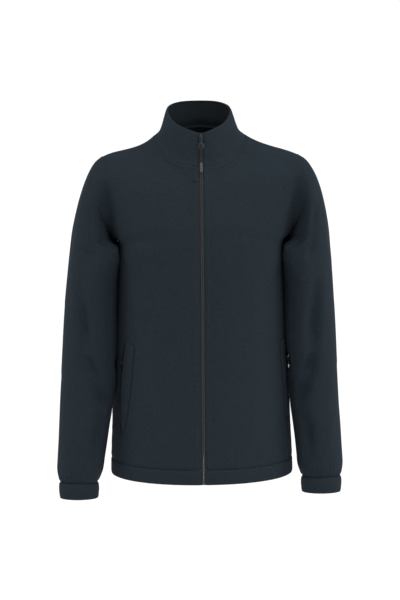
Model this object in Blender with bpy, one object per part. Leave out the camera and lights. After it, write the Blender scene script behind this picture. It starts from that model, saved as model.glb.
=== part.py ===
"""Fleece zip jacket, filled out as if it were worn, with nobody in it.

The frame: the origin is the middle of the neck, at the height of the shoulder seam's
neck end. +Z is up, -Y is the jacket's front and +X is the wearer's left. Metres.

Every piece of cloth is a wall of one thickness. Its outer points lie on rows that are
worked out from the tables below, and its inner points lie one thickness inside them.
Pieces that are sewn together share the points and the directions of their seam, and
each stands back from it by half of the seam gap.
"""

import math
from collections import namedtuple

import bpy
import numpy as np
from mathutils import Matrix, Vector

# Cloth thicknesses and clearances.
FLEECE = 0.0022
FOLDED_FLEECE = 0.0030
SEAM_GAP = 0.0003

RIGHT, LEFT = -1, 1
FRONT, BACK = -1, 1
SIDES = ((RIGHT, "right"), (LEFT, "left"))

# The body below the armholes: one row for each level, measured from the neck.
Level = namedtuple("Level", "height half_width side_seam front back fullness")
BODY = (
    Level(-0.680, 0.1832, -0.005, 0.1405, 0.130, 0.580),
    Level(-0.640, 0.1825, 0.005, 0.1398, 0.130, 0.600),
    Level(-0.575, 0.1800, 0.022, 0.1373, 0.127, 0.630),
    Level(-0.500, 0.1785, 0.036, 0.1350, 0.123, 0.650),
    Level(-0.420, 0.1755, 0.040, 0.1330, 0.120, 0.655),
    Level(-0.330, 0.1705, 0.038, 0.1330, 0.118, 0.670),
    Level(-0.260, 0.1664, 0.026, 0.1310, 0.119, 0.705),
    Level(-0.213, 0.1650, 0.018, 0.1290, 0.120, 0.760),
)
HEM_HEIGHT = -0.680
HEM_SEAM = -0.650
ARMPIT = -0.213
BODY_ROWS = 15
PANEL_COLUMNS = 12
FRONT_BREAK = 13

# The middle of the front and of the back above the armholes.
Middle = namedtuple("Middle", "height reach")
MIDDLE_FRONT = (
    Middle(-0.213, 0.129),
    Middle(-0.150, 0.122),
    Middle(-0.100, 0.109),
    Middle(-0.057, 0.091),
)
MIDDLE_BACK = (
    Middle(-0.213, 0.120),
    Middle(-0.130, 0.121),
    Middle(-0.060, 0.110),
    Middle(-0.015, 0.088),
    Middle(0.008, 0.072),
)

# The armhole, from the armpit (0 degrees) to the top of the shoulder (180 degrees).
Armhole = namedtuple("Armhole", "turn out pointing")
ARMHOLE = (
    Armhole(0, 0.1650, 1.25),
    Armhole(45, 0.1840, 1.15),
    Armhole(90, 0.2040, 1.00),
    Armhole(130, 0.2035, 1.00),
    Armhole(180, 0.1930, 1.00),
)
ARMPIT_BACK = 0.018
ARMHOLE_TOP = {RIGHT: -0.0435, LEFT: -0.0418}
ARMHOLE_HALF_DEPTH = 0.066

# The rows of each panel above the armpit, as degrees round the armhole.
FRONT_TURNS = (0, 30, 46, 58, 70, 81, 92, 104, 115, 125, 135, 145, 155, 165)
BACK_TURNS = (0, 30, 46, 60, 72, 84, 96, 108, 120, 132, 145, 158, 170, 183, 195)
FRONT_NECK_ROW = 7
BACK_NECK_ROW = 8
SHOULDER_SEAM_TURN = 80
SHOULDER_DIP = {RIGHT: 0.0248, LEFT: 0.0126}

# How far each panel's rows hold their first and last directions, as shares of the way
# across and of the way back. Straight rows hold a third of both.
Yoke = namedtuple("Yoke", "turn first_across last_across first_back last_back")
YOKE = (
    Yoke(0, 0.76, 1.00, 0.00, 0.24),
    Yoke(30, 0.68, 0.93, 0.00, 0.37),
    Yoke(50, 0.63, 0.86, 0.00, 0.42),
    Yoke(90, 0.52, 0.76, 0.02, 0.42),
    Yoke(130, 0.42, 0.70, 0.18, 0.52),
    Yoke(165, 0.33, 0.67, 0.33, 0.67),
    Yoke(195, 0.33, 0.67, 0.33, 0.67),
)

# The neck seam, from the zip (0 degrees) to the middle of the back (180 degrees).
Neck = namedtuple("Neck", "turn height")
NECK_SEAM = (
    Neck(0, -0.057),
    Neck(30, -0.051),
    Neck(55, -0.036),
    Neck(75, -0.013),
    Neck(90, -0.004),
    Neck(110, -0.001),
    Neck(140, 0.006),
    Neck(180, 0.008),
)
NECK_HALF_WIDTH = 0.0912
NECK_FRONT = 0.091
NECK_BACK = 0.072
COLLAR_RIM = (
    Neck(0, 0.0092),
    Neck(25, 0.0178),
    Neck(50, 0.0270),
    Neck(70, 0.0385),
    Neck(90, 0.0475),
    Neck(110, 0.0540),
    Neck(130, 0.0581),
    Neck(155, 0.0608),
    Neck(180, 0.0610),
)
RIM_HALF_WIDTH = {RIGHT: 0.0664, LEFT: 0.0626}
RIM_FRONT = 0.078
RIM_BACK = 0.068
COLLAR_LEVELS = (0, 0.07, 0.20, 0.42, 0.70, 1)
COLLAR_SLOPE = 0.61
COLLAR_FLARE = 10.0

# The sleeves below the armhole, one row for each level of each sleeve.
Sleeve = namedtuple("Sleeve", "height out forward half_width half_depth")
SLEEVES = {
    RIGHT: (
        Sleeve(-0.250, 0.2152, 0.008, 0.0488, 0.069),
        Sleeve(-0.331, 0.2196, 0.016, 0.0518, 0.066),
        Sleeve(-0.413, 0.2227, 0.022, 0.0541, 0.063),
        Sleeve(-0.478, 0.2250, 0.027, 0.0556, 0.060),
        Sleeve(-0.529, 0.2297, 0.033, 0.0536, 0.057),
        Sleeve(-0.570, 0.2343, 0.039, 0.0510, 0.054),
        Sleeve(-0.610, 0.2385, 0.045, 0.0489, 0.050),
        Sleeve(-0.648, 0.2428, 0.050, 0.0470, 0.046),
        Sleeve(-0.668, 0.2448, 0.053, 0.0456, 0.044),
        Sleeve(-0.681, 0.2463, 0.055, 0.0426, 0.041),
        Sleeve(-0.688, 0.2470, 0.056, 0.0390, 0.038),
    ),
    LEFT: (
        Sleeve(-0.250, 0.2140, 0.008, 0.0486, 0.069),
        Sleeve(-0.331, 0.2154, 0.016, 0.0506, 0.066),
        Sleeve(-0.413, 0.2172, 0.022, 0.0524, 0.063),
        Sleeve(-0.456, 0.2200, 0.026, 0.0512, 0.060),
        Sleeve(-0.498, 0.2228, 0.030, 0.0496, 0.058),
        Sleeve(-0.549, 0.2262, 0.036, 0.0486, 0.055),
        Sleeve(-0.573, 0.2288, 0.040, 0.0478, 0.053),
        Sleeve(-0.611, 0.2321, 0.045, 0.0465, 0.050),
        Sleeve(-0.648, 0.2349, 0.050, 0.0458, 0.046),
        Sleeve(-0.667, 0.2360, 0.053, 0.0448, 0.044),
        Sleeve(-0.681, 0.2374, 0.055, 0.0396, 0.038),
    ),
}
SLEEVE_CAP_ROWS = 8
SLEEVE_ROWS = 19
SLEEVE_BREAK = 17
CUFF_TILT = math.radians(4)
CUFF_DEPTH = 0.032
CUFF_FULLNESS = 0.0012
CAP_REACH = {RIGHT: 0.50, LEFT: 0.66}
CAP_FOOT_OUT = 0.10
CAP_FORWARD = 0.25
CAP_LIFT = 0.70
CAP_FALL = 0.95

# The room left between a sleeve and the body, and the extra room at a pocket's pull.
SLEEVE_ROOM = 0.0026
PULL_ROOM = {RIGHT: 0.0075, LEFT: 0.0095}
PULL_ROOM_SPREAD = 0.028
PULL_ROOM_PLACE = {RIGHT: (-0.030, -0.445), LEFT: (-0.028, -0.453)}

# Soft folds pressed into the sleeves. A turn runs round the sleeve from its inner side
# (0) by its front (90) and its outer side (180) to its back (270).
Fold = namedtuple("Fold", "turn height to_turn to_height depth width")
SLEEVE_FOLDS = {
    RIGHT: (
        Fold(118, -0.310, 95, -0.455, 0.0025, 0.020),
        Fold(95, -0.455, 40, -0.545, 0.0035, 0.018),
        Fold(285, -0.330, 262, -0.470, 0.0025, 0.020),
        Fold(262, -0.470, 325, -0.550, 0.0035, 0.018),
    ),
    LEFT: (
        Fold(106, -0.310, 84, -0.465, 0.0025, 0.020),
        Fold(84, -0.465, 38, -0.528, 0.0035, 0.018),
        Fold(276, -0.345, 268, -0.480, 0.0025, 0.020),
        Fold(268, -0.480, 322, -0.540, 0.0035, 0.018),
    ),
}
CUFF_GATHERS = 8
GATHER_DEPTH = 0.0012
GATHER_LENGTH = 0.035

# The zip up the front: each half is a coil with its tape behind the cloth.
PANEL_EDGE = 0.0050
ZIP_MIDDLE_GAP = 0.00015
COIL_EDGE = 0.0046
COIL_RECESS = 0.0004
TAPE_EDGE = 0.0080
TAPE_BEHIND = 0.0044
TAPE_BACK = 0.0052
ZIP_BODY_ROWS = 22
SLIDER_HEIGHT = 0.0005
SLIDER_LIFT = 0.0001

# A slider's plate and bridge, and the tab that hinges in the bridge.
PullSize = namedtuple("PullSize", "plate_width plate_length scale")
FRONT_PULL = PullSize(0.0084, 0.0110, 1.0)
POCKET_PULL = PullSize(0.0048, 0.0080, 0.62)
PLATE_THICKNESS = 0.0017
PLATE_CORNER = 0.0010
PLATE_CROWN = 0.70
PLATE_WAIST = 0.85
PLATE_TAIL = 0.50
BRIDGE_WIDTH = 0.0022
BRIDGE_HALF_LENGTH = 0.0028
BRIDGE_RISE = 0.0034
BRIDGE_BAR = 0.0011
BRIDGE_FOOT = 0.0003
HINGE_RISE = 0.0012
TAB_THICKNESS = 0.0014
TabEdge = namedtuple("TabEdge", "along half_width")
TAB = (
    TabEdge(-0.0007, 0.0022),
    TabEdge(0.0000, 0.0027),
    TabEdge(0.0048, 0.0027),
    TabEdge(0.0080, 0.0019),
    TabEdge(0.0105, 0.0023),
    TabEdge(0.0128, 0.0043),
    TabEdge(0.0152, 0.0055),
    TabEdge(0.0176, 0.0058),
    TabEdge(0.0200, 0.0053),
    TabEdge(0.0222, 0.0037),
    TabEdge(0.0233, 0.0014),
)
TAB_WINDOW = (0.00075, 0.0045, 0.0030)
TAB_RING_MIDDLE = 0.0176
TAB_RING_HOLE = 0.0034
PULL_LEAN = math.radians(15.0)
PULL_CORD = (0.0237, 0.0500, 0.0036, 0.0018)
PULL_TIP = (0.0503, 0.0685, 0.0052, 0.0026)

# The pockets: where each welt's front edge lies across the body, and the welt's width.
Welt = namedtuple("Welt", "height front_edge width")
POCKETS = {
    RIGHT: (
        Welt(-0.586, 0.1552, 0.009),
        Welt(-0.545, 0.1476, 0.025),
        Welt(-0.500, 0.1418, 0.034),
        Welt(-0.454, 0.1370, 0.033),
        Welt(-0.407, 0.1326, 0.027),
    ),
    LEFT: (
        Welt(-0.586, 0.1704, 0.009),
        Welt(-0.545, 0.1650, 0.025),
        Welt(-0.500, 0.1608, 0.034),
        Welt(-0.454, 0.1572, 0.033),
        Welt(-0.407, 0.1538, 0.027),
    ),
}
POCKET_TOP = -0.407
POCKET_BOTTOM = -0.586
POCKET_ROWS = 11
WELT_COLUMNS = 3
WELT_THICKNESS = 0.0020
POCKET_ZIP_WIDTH = 0.0058
POCKET_ZIP_THICKNESS = 0.0012
POCKET_SLIDER_DROP = 0.0400


def smooth(table, key, column, at):
    """Read a table's column between its rows, on a monotone cubic curve."""
    rows = sorted(table, key=lambda row: getattr(row, key))
    keys = [getattr(row, key) for row in rows]
    values = [getattr(row, column) for row in rows]
    slopes = np.diff(values) / np.diff(keys)
    tangents = [slopes[0]]
    for before, after in zip(slopes, slopes[1:]):
        same_way = before * after > 0
        tangents.append(2 * before * after / (before + after) if same_way else 0.0)
    tangents.append(slopes[-1])
    i = min(max(int(np.searchsorted(keys, at)) - 1, 0), len(slopes) - 1)
    span = keys[i + 1] - keys[i]
    t = min(max((at - keys[i]) / span, 0.0), 1.0)
    return float(
        values[i] * (1 + 2 * t) * (1 - t) ** 2
        + values[i + 1] * t * t * (3 - 2 * t)
        + span * tangents[i] * t * (1 - t) ** 2
        - span * tangents[i + 1] * t * t * (1 - t)
    )


def signed_power(value, power):
    return math.copysign(abs(value) ** power, value)


def evenly(points, count):
    """Place count + 1 points at equal steps along a line of points."""
    line = np.array(points)
    along = np.concatenate([[0], np.cumsum(np.linalg.norm(np.diff(line, axis=0), axis=1))])
    steps = np.linspace(0, along[-1], count + 1)
    return [Vector(np.interp(step, along, line[:, axis]) for axis in range(3)) for step in steps]


def material(name, colour, roughness, metallic=0.0):
    made = bpy.data.materials.new(name)
    made.use_nodes = True
    shader = made.node_tree.nodes["Principled BSDF"]
    shader.inputs["Base Color"].default_value = (*colour, 1.0)
    shader.inputs["Roughness"].default_value = roughness
    shader.inputs["Metallic"].default_value = metallic
    return made


def add_object(name, points, faces, finish):
    mesh = bpy.data.meshes.new(name)
    mesh.from_pydata([tuple(point) for point in points], [], faces)
    mesh.materials.append(finish)
    mesh.shade_smooth()
    mesh.set_sharp_from_angle(angle=math.radians(40))
    made = bpy.data.objects.new(name, mesh)
    bpy.context.scene.collection.objects.link(made)
    return made


def ways_out(points, faces, normals):
    """The outward direction at each point of a surface of quads.

    normals gives it for the points on shared seams. Every other point takes the mean
    direction of the faces round it.
    """
    outward = [Vector() for _ in points]
    for face in faces:
        corners = [points[i] for i in face]
        turn = (corners[2] - corners[0]).cross(corners[3] - corners[1])
        for i in face:
            outward[i] += turn
    for i, direction in normals.items():
        outward[i] = direction
    return outward


def wall(name, points, faces, normals, thickness, finish):
    """Give a surface of quads its thickness, inwards, and close its open edges."""
    outward = ways_out(points, faces, normals)
    halves = []
    for face in faces:
        corners = [points[i] for i in face]
        first = (corners[0] - corners[2]).length > (corners[1] - corners[3]).length
        turned = face[first:] + face[:first]
        halves += [turned[:3], (turned[0],) + turned[2:]]
    inner = [point - thickness * way.normalized() for point, way in zip(points, outward)]
    count = len(points)
    edges = {(face[k - 1], face[k]) for face in faces for k in range(len(face))}
    rims = [(b, a, a + count, b + count) for a, b in sorted(edges) if (b, a) not in edges]
    insides = [tuple(i + count for i in reversed(half)) for half in halves]
    return add_object(name, list(points) + inner, halves + insides + rims, finish)


def grid_faces(rows, columns, closed=False, flip=False):
    """Quads over a grid of rows, facing out where rows run up and columns run left."""
    faces = []
    for row in range(rows - 1):
        for column in range(columns if closed else columns - 1):
            after = (column + 1) % columns
            face = (
                row * columns + column,
                row * columns + after,
                (row + 1) * columns + after,
                (row + 1) * columns + column,
            )
            faces.append(face[::-1] if flip else face)
    return faces


def wall_in_lengths(names, breaks, points, columns, closed, flip, normals, finish):
    """A wall of fleece made in lengths that meet at the rows in breaks.

    Short lengths keep the hollow inside a long bent wall clear in its collision pieces.
    """
    last = len(points) // columns - 1
    outward = ways_out(points, grid_faces(last + 1, columns, closed, flip), normals)
    half_gap = SEAM_GAP / 2
    rows = [0, *breaks, last]
    for name, start, end in zip(names, rows, rows[1:]):
        span = slice(start * columns, (end + 1) * columns)
        length = [point.copy() for point in points[span]]
        for column in range(columns):
            top = len(length) - columns + column
            if start > 0:
                above = length[column + columns]
                length[column] += half_gap * (above - length[column]).normalized()
            if end < last:
                length[top] += half_gap * (length[top - columns] - length[top]).normalized()
        faces = grid_faces(end - start + 1, columns, closed, flip)
        wall(name, length, faces, dict(enumerate(outward[span])), FLEECE, finish)


# ---------------------------------------------------------------- seams


def armhole_seam(side, face, turn):
    """A point of the armhole and the direction that faces out of both walls there."""
    angle = math.radians(turn)
    mirrored = min(turn, 360 - turn)
    power = smooth(ARMHOLE, "turn", "pointing", mirrored)
    forward = signed_power(math.sin(angle), power)
    up = -signed_power(math.cos(angle), power)
    set_back = ARMPIT_BACK * (1 - up) / 2
    point = Vector(
        (
            side * smooth(ARMHOLE, "turn", "out", mirrored),
            face * ARMHOLE_HALF_DEPTH * forward + set_back,
            ARMPIT + (ARMHOLE_TOP[side] - ARMPIT) * (1 + up) / 2,
        )
    )
    lean = 0.25 * max(0.0, -math.cos(angle))
    outward = Vector((side * lean, face * math.sin(angle), -math.cos(angle)))
    return point, outward.normalized()


def neck_ring(turn, side, half_width, front, back):
    """A point round the neck. The front's ends stand back from the zip."""
    angle = math.radians(turn)
    if turn <= 90:
        across = PANEL_EDGE + (half_width - PANEL_EDGE) * math.sin(angle)
        return side * across, -front * math.cos(angle)
    return side * half_width * math.sin(angle), -back * math.cos(angle)


def neck_seam(side, turn):
    """A point of the neck seam, the way out of both walls, and the way down the body."""
    x, y = neck_ring(turn, side, NECK_HALF_WIDTH, NECK_FRONT, NECK_BACK)
    radial = Vector((x / NECK_HALF_WIDTH, y / NECK_FRONT, 0)).normalized()
    up = Vector((0, 0, 1))
    outward = (radial + 0.8 * up).normalized()
    down_body = (0.8 * radial - up).normalized()
    return Vector((x, y, smooth(NECK_SEAM, "turn", "height", turn))), outward, down_body


SHOULDER_OUTWARD = Vector((0, -0.35, 1)).normalized()
SHOULDER_FORWARD = Vector((0, -1, -0.35)).normalized()


# ---------------------------------------------------------------- body panels


def bezier(start, first, last, end, count=60):
    """Points along the cubic curve that leaves start for first and reaches end from last."""
    points = []
    for step in range(count + 1):
        t = step / count
        points.append(
            start * (1 - t) ** 3
            + first * 3 * t * (1 - t) ** 2
            + last * 3 * t * t * (1 - t)
            + end * t**3
        )
    return points


def body_arc(side, face, height):
    """A level line round one quarter of the body, from the middle to the side seam."""
    half_width = smooth(BODY, "height", "half_width", height)
    reach = smooth(BODY, "height", "front" if face == FRONT else "back", height)
    fullness = smooth(BODY, "height", "fullness", height)
    side_seam = smooth(BODY, "height", "side_seam", height)
    inner = PANEL_EDGE if face == FRONT else 0.0
    start = Vector((side * inner, face * reach, height))
    end = Vector((side * half_width, side_seam, height))
    first = start + Vector((fullness * (end.x - start.x), 0, 0))
    last = end + Vector((0, fullness * (start.y - end.y), 0))
    return bezier(start, first, last, end)


def yoke_arc(side, face, row):
    """A line from the middle or the neck to the armhole, above the armpit."""
    turns = FRONT_TURNS if face == FRONT else BACK_TURNS
    neck_row = FRONT_NECK_ROW if face == FRONT else BACK_NECK_ROW
    middle = MIDDLE_FRONT if face == FRONT else MIDDLE_BACK
    last_row = len(turns) - 1
    end, _ = armhole_seam(side, face, turns[row])
    if row < neck_row:
        height = ARMPIT + row / neck_row * (middle[-1].height - ARMPIT)
        inner = PANEL_EDGE if face == FRONT else 0.0
        start = Vector((side * inner, face * smooth(middle, "height", "reach", height), height))
    else:
        share = (row - neck_row) / (last_row - neck_row)
        first_turn = 0 if face == FRONT else 180
        start, _, _ = neck_seam(side, first_turn + share * (SHOULDER_SEAM_TURN - first_turn))
    way = end - start
    turn = turns[row]
    dip = Vector((0, 0, SHOULDER_DIP[side] * (row / last_row) ** 3))
    first = start + Vector(
        (
            way.x * smooth(YOKE, "turn", "first_across", turn),
            way.y * smooth(YOKE, "turn", "first_back", turn),
            way.z / 3,
        )
    )
    last = start + Vector(
        (
            way.x * smooth(YOKE, "turn", "last_across", turn),
            way.y * smooth(YOKE, "turn", "last_back", turn),
            way.z * 2 / 3,
        )
    )
    return bezier(start, first - dip, last + dip / 4, end)


def panel_rows(side, face):
    """The rows of half a front or back, from the hem seam to the shoulder seam."""
    turns = FRONT_TURNS if face == FRONT else BACK_TURNS
    rows = []
    for step in range(BODY_ROWS):
        height = HEM_SEAM + (ARMPIT - HEM_SEAM) * step / BODY_ROWS
        rows.append(evenly(body_arc(side, face, height), PANEL_COLUMNS))
    for row in range(len(turns)):
        rows.append(evenly(yoke_arc(side, face, row), PANEL_COLUMNS))
    return rows


def panel_seams(rows, side, face):
    """Move a half panel's seam points back from their seams, and give the ways out."""
    turns = FRONT_TURNS if face == FRONT else BACK_TURNS
    neck_row = BODY_ROWS + (FRONT_NECK_ROW if face == FRONT else BACK_NECK_ROW)
    last = len(rows) - 1
    half_gap = SEAM_GAP / 2
    normals = {}
    for row in range(len(rows)):
        if row < BODY_ROWS:
            normals[row, PANEL_COLUMNS] = Vector((side, 0, 0))
        else:
            _, normals[row, PANEL_COLUMNS] = armhole_seam(side, face, turns[row - BODY_ROWS])
        if row <= BODY_ROWS:
            rows[row][PANEL_COLUMNS].y += face * half_gap
        if row >= neck_row:
            first_turn = 0 if face == FRONT else 180
            share = (row - neck_row) / (last - neck_row)
            turn = first_turn + share * (SHOULDER_SEAM_TURN - first_turn)
            _, normals[row, 0], down_body = neck_seam(side, turn)
            rows[row][0] += half_gap * down_body
    for column in range(PANEL_COLUMNS + 1):
        rows[last][column] += -face * half_gap * SHOULDER_FORWARD
        rows[0][column].z += half_gap
        if 0 < column < PANEL_COLUMNS:
            normals[last, column] = SHOULDER_OUTWARD
    return normals


def make_front(side, name, finish):
    rows = panel_rows(side, FRONT)
    normals = panel_seams(rows, side, FRONT)
    columns = PANEL_COLUMNS + 1
    points = [point for row in rows for point in row]
    shared = {row * columns + column: way for (row, column), way in normals.items()}
    names = (f"{name}_lower", f"{name}_upper")
    flip = side == RIGHT
    wall_in_lengths(names, (FRONT_BREAK,), points, columns, False, flip, shared, finish)


def make_back(name, finish):
    """The back is one piece: its two halves share the points of the middle line."""
    points = []
    shared = {}
    faces = []
    middle = {}
    for side in (RIGHT, LEFT):
        rows = panel_rows(side, BACK)
        normals = panel_seams(rows, side, BACK)
        numbers = []
        for row, line in enumerate(rows):
            numbers.append([])
            for column, point in enumerate(line):
                if column == 0 and row in middle:
                    numbers[row].append(middle[row])
                    continue
                if column == 0 and row <= BODY_ROWS + BACK_NECK_ROW:
                    middle[row] = len(points)
                if (row, column) in normals:
                    shared[len(points)] = normals[row, column]
                numbers[row].append(len(points))
                points.append(point)
        for row in range(len(rows) - 1):
            for column in range(PANEL_COLUMNS):
                face = (
                    numbers[row][column],
                    numbers[row][column + 1],
                    numbers[row + 1][column + 1],
                    numbers[row + 1][column],
                )
                faces.append(face if side == RIGHT else face[::-1])
    return wall(name, points, faces, shared, FLEECE, finish)


def body_ring(height):
    """A level line all round the body, from the zip to the zip, by the right side."""
    parts = []
    for side, face, reverse in (
        (RIGHT, FRONT, False),
        (RIGHT, BACK, True),
        (LEFT, BACK, False),
        (LEFT, FRONT, True),
    ):
        line = evenly(body_arc(side, face, height), PANEL_COLUMNS)
        parts.append(line[::-1] if reverse else line)
    ring = parts[0]
    for line in parts[1:]:
        ring = ring + line[1:]
    return ring


def make_hem(name, finish):
    """The turned hem: an open ring, slightly drawn in at its lower edge."""
    heights = (HEM_SEAM - SEAM_GAP / 2, (HEM_SEAM + HEM_HEIGHT) / 2, HEM_HEIGHT)
    rows = [body_ring(height) for height in heights]
    columns = len(rows[0])
    points = [point for row in rows for point in row]
    faces = grid_faces(len(rows), columns)
    return wall(name, points, faces, {}, FOLDED_FLEECE, finish)


# ---------------------------------------------------------------- collar


def collar_lean(up):
    """How far in towards its rim the collar has come at a share of its height."""
    return COLLAR_SLOPE * up + (1 - COLLAR_SLOPE) * (1 - (1 - up) ** COLLAR_FLARE)


def make_collar(name, finish):
    front_steps = len(FRONT_TURNS) - 1 - FRONT_NECK_ROW
    back_steps = len(BACK_TURNS) - 1 - BACK_NECK_ROW
    front_turns = [SHOULDER_SEAM_TURN * k / front_steps for k in range(front_steps + 1)]
    span = 180 - SHOULDER_SEAM_TURN
    back_turns = [SHOULDER_SEAM_TURN + span * k / back_steps for k in range(1, back_steps + 1)]
    turns = front_turns + back_turns
    places = [(RIGHT, turn) for turn in turns] + [(LEFT, turn) for turn in turns[-2::-1]]
    points = []
    normals = {}
    for row, up in enumerate(COLLAR_LEVELS):
        for column, (side, turn) in enumerate(places):
            base, outward, down_body = neck_seam(side, turn)
            x, y = neck_ring(turn, side, RIM_HALF_WIDTH[side], RIM_FRONT, RIM_BACK)
            rim = Vector((x, y, smooth(COLLAR_RIM, "turn", "height", turn)))
            inward = collar_lean(up)
            point = base + Vector(
                (
                    (rim.x - base.x) * inward,
                    (rim.y - base.y) * inward,
                    (rim.z - base.z) * up,
                )
            )
            if row == 0:
                point -= SEAM_GAP / 2 * down_body
                normals[column] = outward
            elif turn == 0:
                _, normals[len(points)], _ = front_frame(point.z)
            points.append(point)
    faces = grid_faces(len(COLLAR_LEVELS), len(places), flip=True)
    return wall(name, points, faces, normals, FOLDED_FLEECE, finish)


# ---------------------------------------------------------------- sleeves


def sleeve_places():
    """The face and turn of each point round a sleeve, from the armpit by the front."""
    front = [(FRONT, turn) for turn in FRONT_TURNS]
    back = [(BACK, turn) for turn in BACK_TURNS[-2:0:-1]]
    return front + back


def sleeve_point(side, face, turn, height, tilt=0.0):
    """A point of the sleeve below the armhole, at a level and a turn round it."""
    table = SLEEVES[side]
    angle = math.radians(turn)
    out = smooth(table, "height", "out", height)
    forward = smooth(table, "height", "forward", height)
    half_width = smooth(table, "height", "half_width", height)
    half_depth = smooth(table, "height", "half_depth", height)
    y = face * half_depth * math.sin(angle)
    return Vector(
        (
            side * (out - half_width * math.cos(angle)),
            y - forward,
            height - y * math.tan(tilt),
        )
    )


def sleeve_relief(side, face, turn, height):
    """How far the sleeve's folds and gathers press it in at a place."""
    table = SLEEVES[side]
    way_round = turn if face == FRONT else 360 - turn
    radius = smooth(table, "height", "half_depth", height)
    pressed = 0.0
    for fold in SLEEVE_FOLDS[side]:
        start = Vector((math.radians(fold.turn) * radius, fold.height))
        end = Vector((math.radians(fold.to_turn) * radius, fold.to_height))
        place = Vector((math.radians(way_round) * radius, height))
        share = min(max((place - start).dot(end - start) / (end - start).length_squared, 0), 1)
        away = (place - start.lerp(end, share)).length
        pressed += fold.depth * math.exp(-((away / fold.width) ** 2))
    near_cuff = max(0.0, 1 - (height - table[-1].height) / GATHER_LENGTH)
    waves = 0.5 - 0.5 * math.cos(math.radians(way_round) * CUFF_GATHERS)
    return pressed + GATHER_DEPTH * waves * math.sin(math.pi * near_cuff)


def clear_of_body(side, point):
    """Move a sleeve point outwards to where it clears the body beside it."""
    if not HEM_HEIGHT <= point.z <= BODY[-1].height:
        return point
    front = body_arc(side, FRONT, point.z)
    back = body_arc(side, BACK, point.z)[::-1]
    line = np.array(front + back[1:])
    beside = np.interp(point.y, line[:, 1], np.abs(line[:, 0]))
    away = (Vector((point.y, point.z)) - Vector(PULL_ROOM_PLACE[side])).length / PULL_ROOM_SPREAD
    least = beside + SLEEVE_ROOM + PULL_ROOM[side] * math.exp(-away * away)
    return Vector((side * max(abs(point.x), least), point.y, point.z))


def make_sleeve(side, name, finish):
    places = sleeve_places()
    top = SLEEVES[side][0].height
    bottom = SLEEVES[side][-1].height
    points = []
    normals = {}
    for row in range(SLEEVE_CAP_ROWS):
        t = row / SLEEVE_CAP_ROWS
        for column, (face, turn) in enumerate(places):
            start, outward = armhole_seam(side, face, turn)
            start = start + Vector((side * SEAM_GAP, 0, 0))
            end = sleeve_point(side, face, turn, top)
            angle = math.radians(turn)
            raised = (1 - math.cos(angle)) / 2
            leave = Vector(
                (
                    side * (CAP_FOOT_OUT + (CAP_REACH[side] - CAP_FOOT_OUT) * raised),
                    CAP_FORWARD * face * math.sin(angle),
                    CAP_LIFT * raised - CAP_FALL,
                )
            )
            reach = (end - start).length
            arrive = Vector((side * CAP_FOOT_OUT, 0, -1))
            point = (
                start * (1 + 2 * t) * (1 - t) ** 2
                + end * t * t * (3 - 2 * t)
                + leave * reach * t * (1 - t) ** 2
                - arrive * reach * t * t * (1 - t)
            )
            if row == 0:
                normals[column] = outward
            points.append(point)
    for row in range(SLEEVE_ROWS + 1):
        share = row / SLEEVE_ROWS
        height = top + (bottom - top) * share
        middle = Vector(
            (
                side * smooth(SLEEVES[side], "height", "out", height),
                -smooth(SLEEVES[side], "height", "forward", height),
                height,
            )
        )
        for face, turn in places:
            point = sleeve_point(side, face, turn, height, CUFF_TILT * share)
            inward = (middle - point).normalized()
            point += sleeve_relief(side, face, turn, height) * inward
            points.append(clear_of_body(side, point))
    names = (f"{name}_upper", f"{name}_lower")
    flip = side == LEFT
    wall_in_lengths(names, (SLEEVE_BREAK,), points, len(places), True, flip, normals, finish)


def make_cuff(side, name, finish):
    places = sleeve_places()
    last = SLEEVES[side][-1]
    rows = 4
    points = []
    for row in range(rows + 1):
        share = row / rows
        height = last.height - SEAM_GAP - CUFF_DEPTH * share
        swell = CUFF_FULLNESS * math.sin(math.pi * min(1.0, share * 1.2))
        for face, turn in places:
            point = sleeve_point(side, face, turn, last.height, CUFF_TILT)
            middle = Vector((side * last.out, -last.forward, last.height))
            spread = point - middle
            spread *= 1 + swell / last.half_width
            shift = Vector((0, -math.tan(CUFF_TILT), 0)) * (last.height - height)
            points.append(middle + spread + shift + Vector((0, 0, height - last.height)))
    faces = grid_faces(rows + 1, len(places), closed=True, flip=side == LEFT)
    return wall(name, points, faces, {}, FOLDED_FLEECE, finish)


# ---------------------------------------------------------------- zips


def front_line(height):
    """How far forward the middle of the front is, on the hem, the body or the collar."""
    base = MIDDLE_FRONT[-1]
    if height <= ARMPIT:
        return smooth(BODY, "height", "front", height)
    if height <= base.height:
        return smooth(MIDDLE_FRONT, "height", "reach", height)
    up = (height - base.height) / (COLLAR_RIM[0].height - base.height)
    return base.reach + (RIM_FRONT - base.reach) * collar_lean(up)


def front_frame(height):
    """A place on the middle of the front: the point, the way out and the way down."""
    step = 0.001
    down = Vector((0, front_line(height) - front_line(height - step), -step)).normalized()
    out = Vector((0, down.z, -down.y))
    return Vector((0, -front_line(height), height)), out, down


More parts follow.
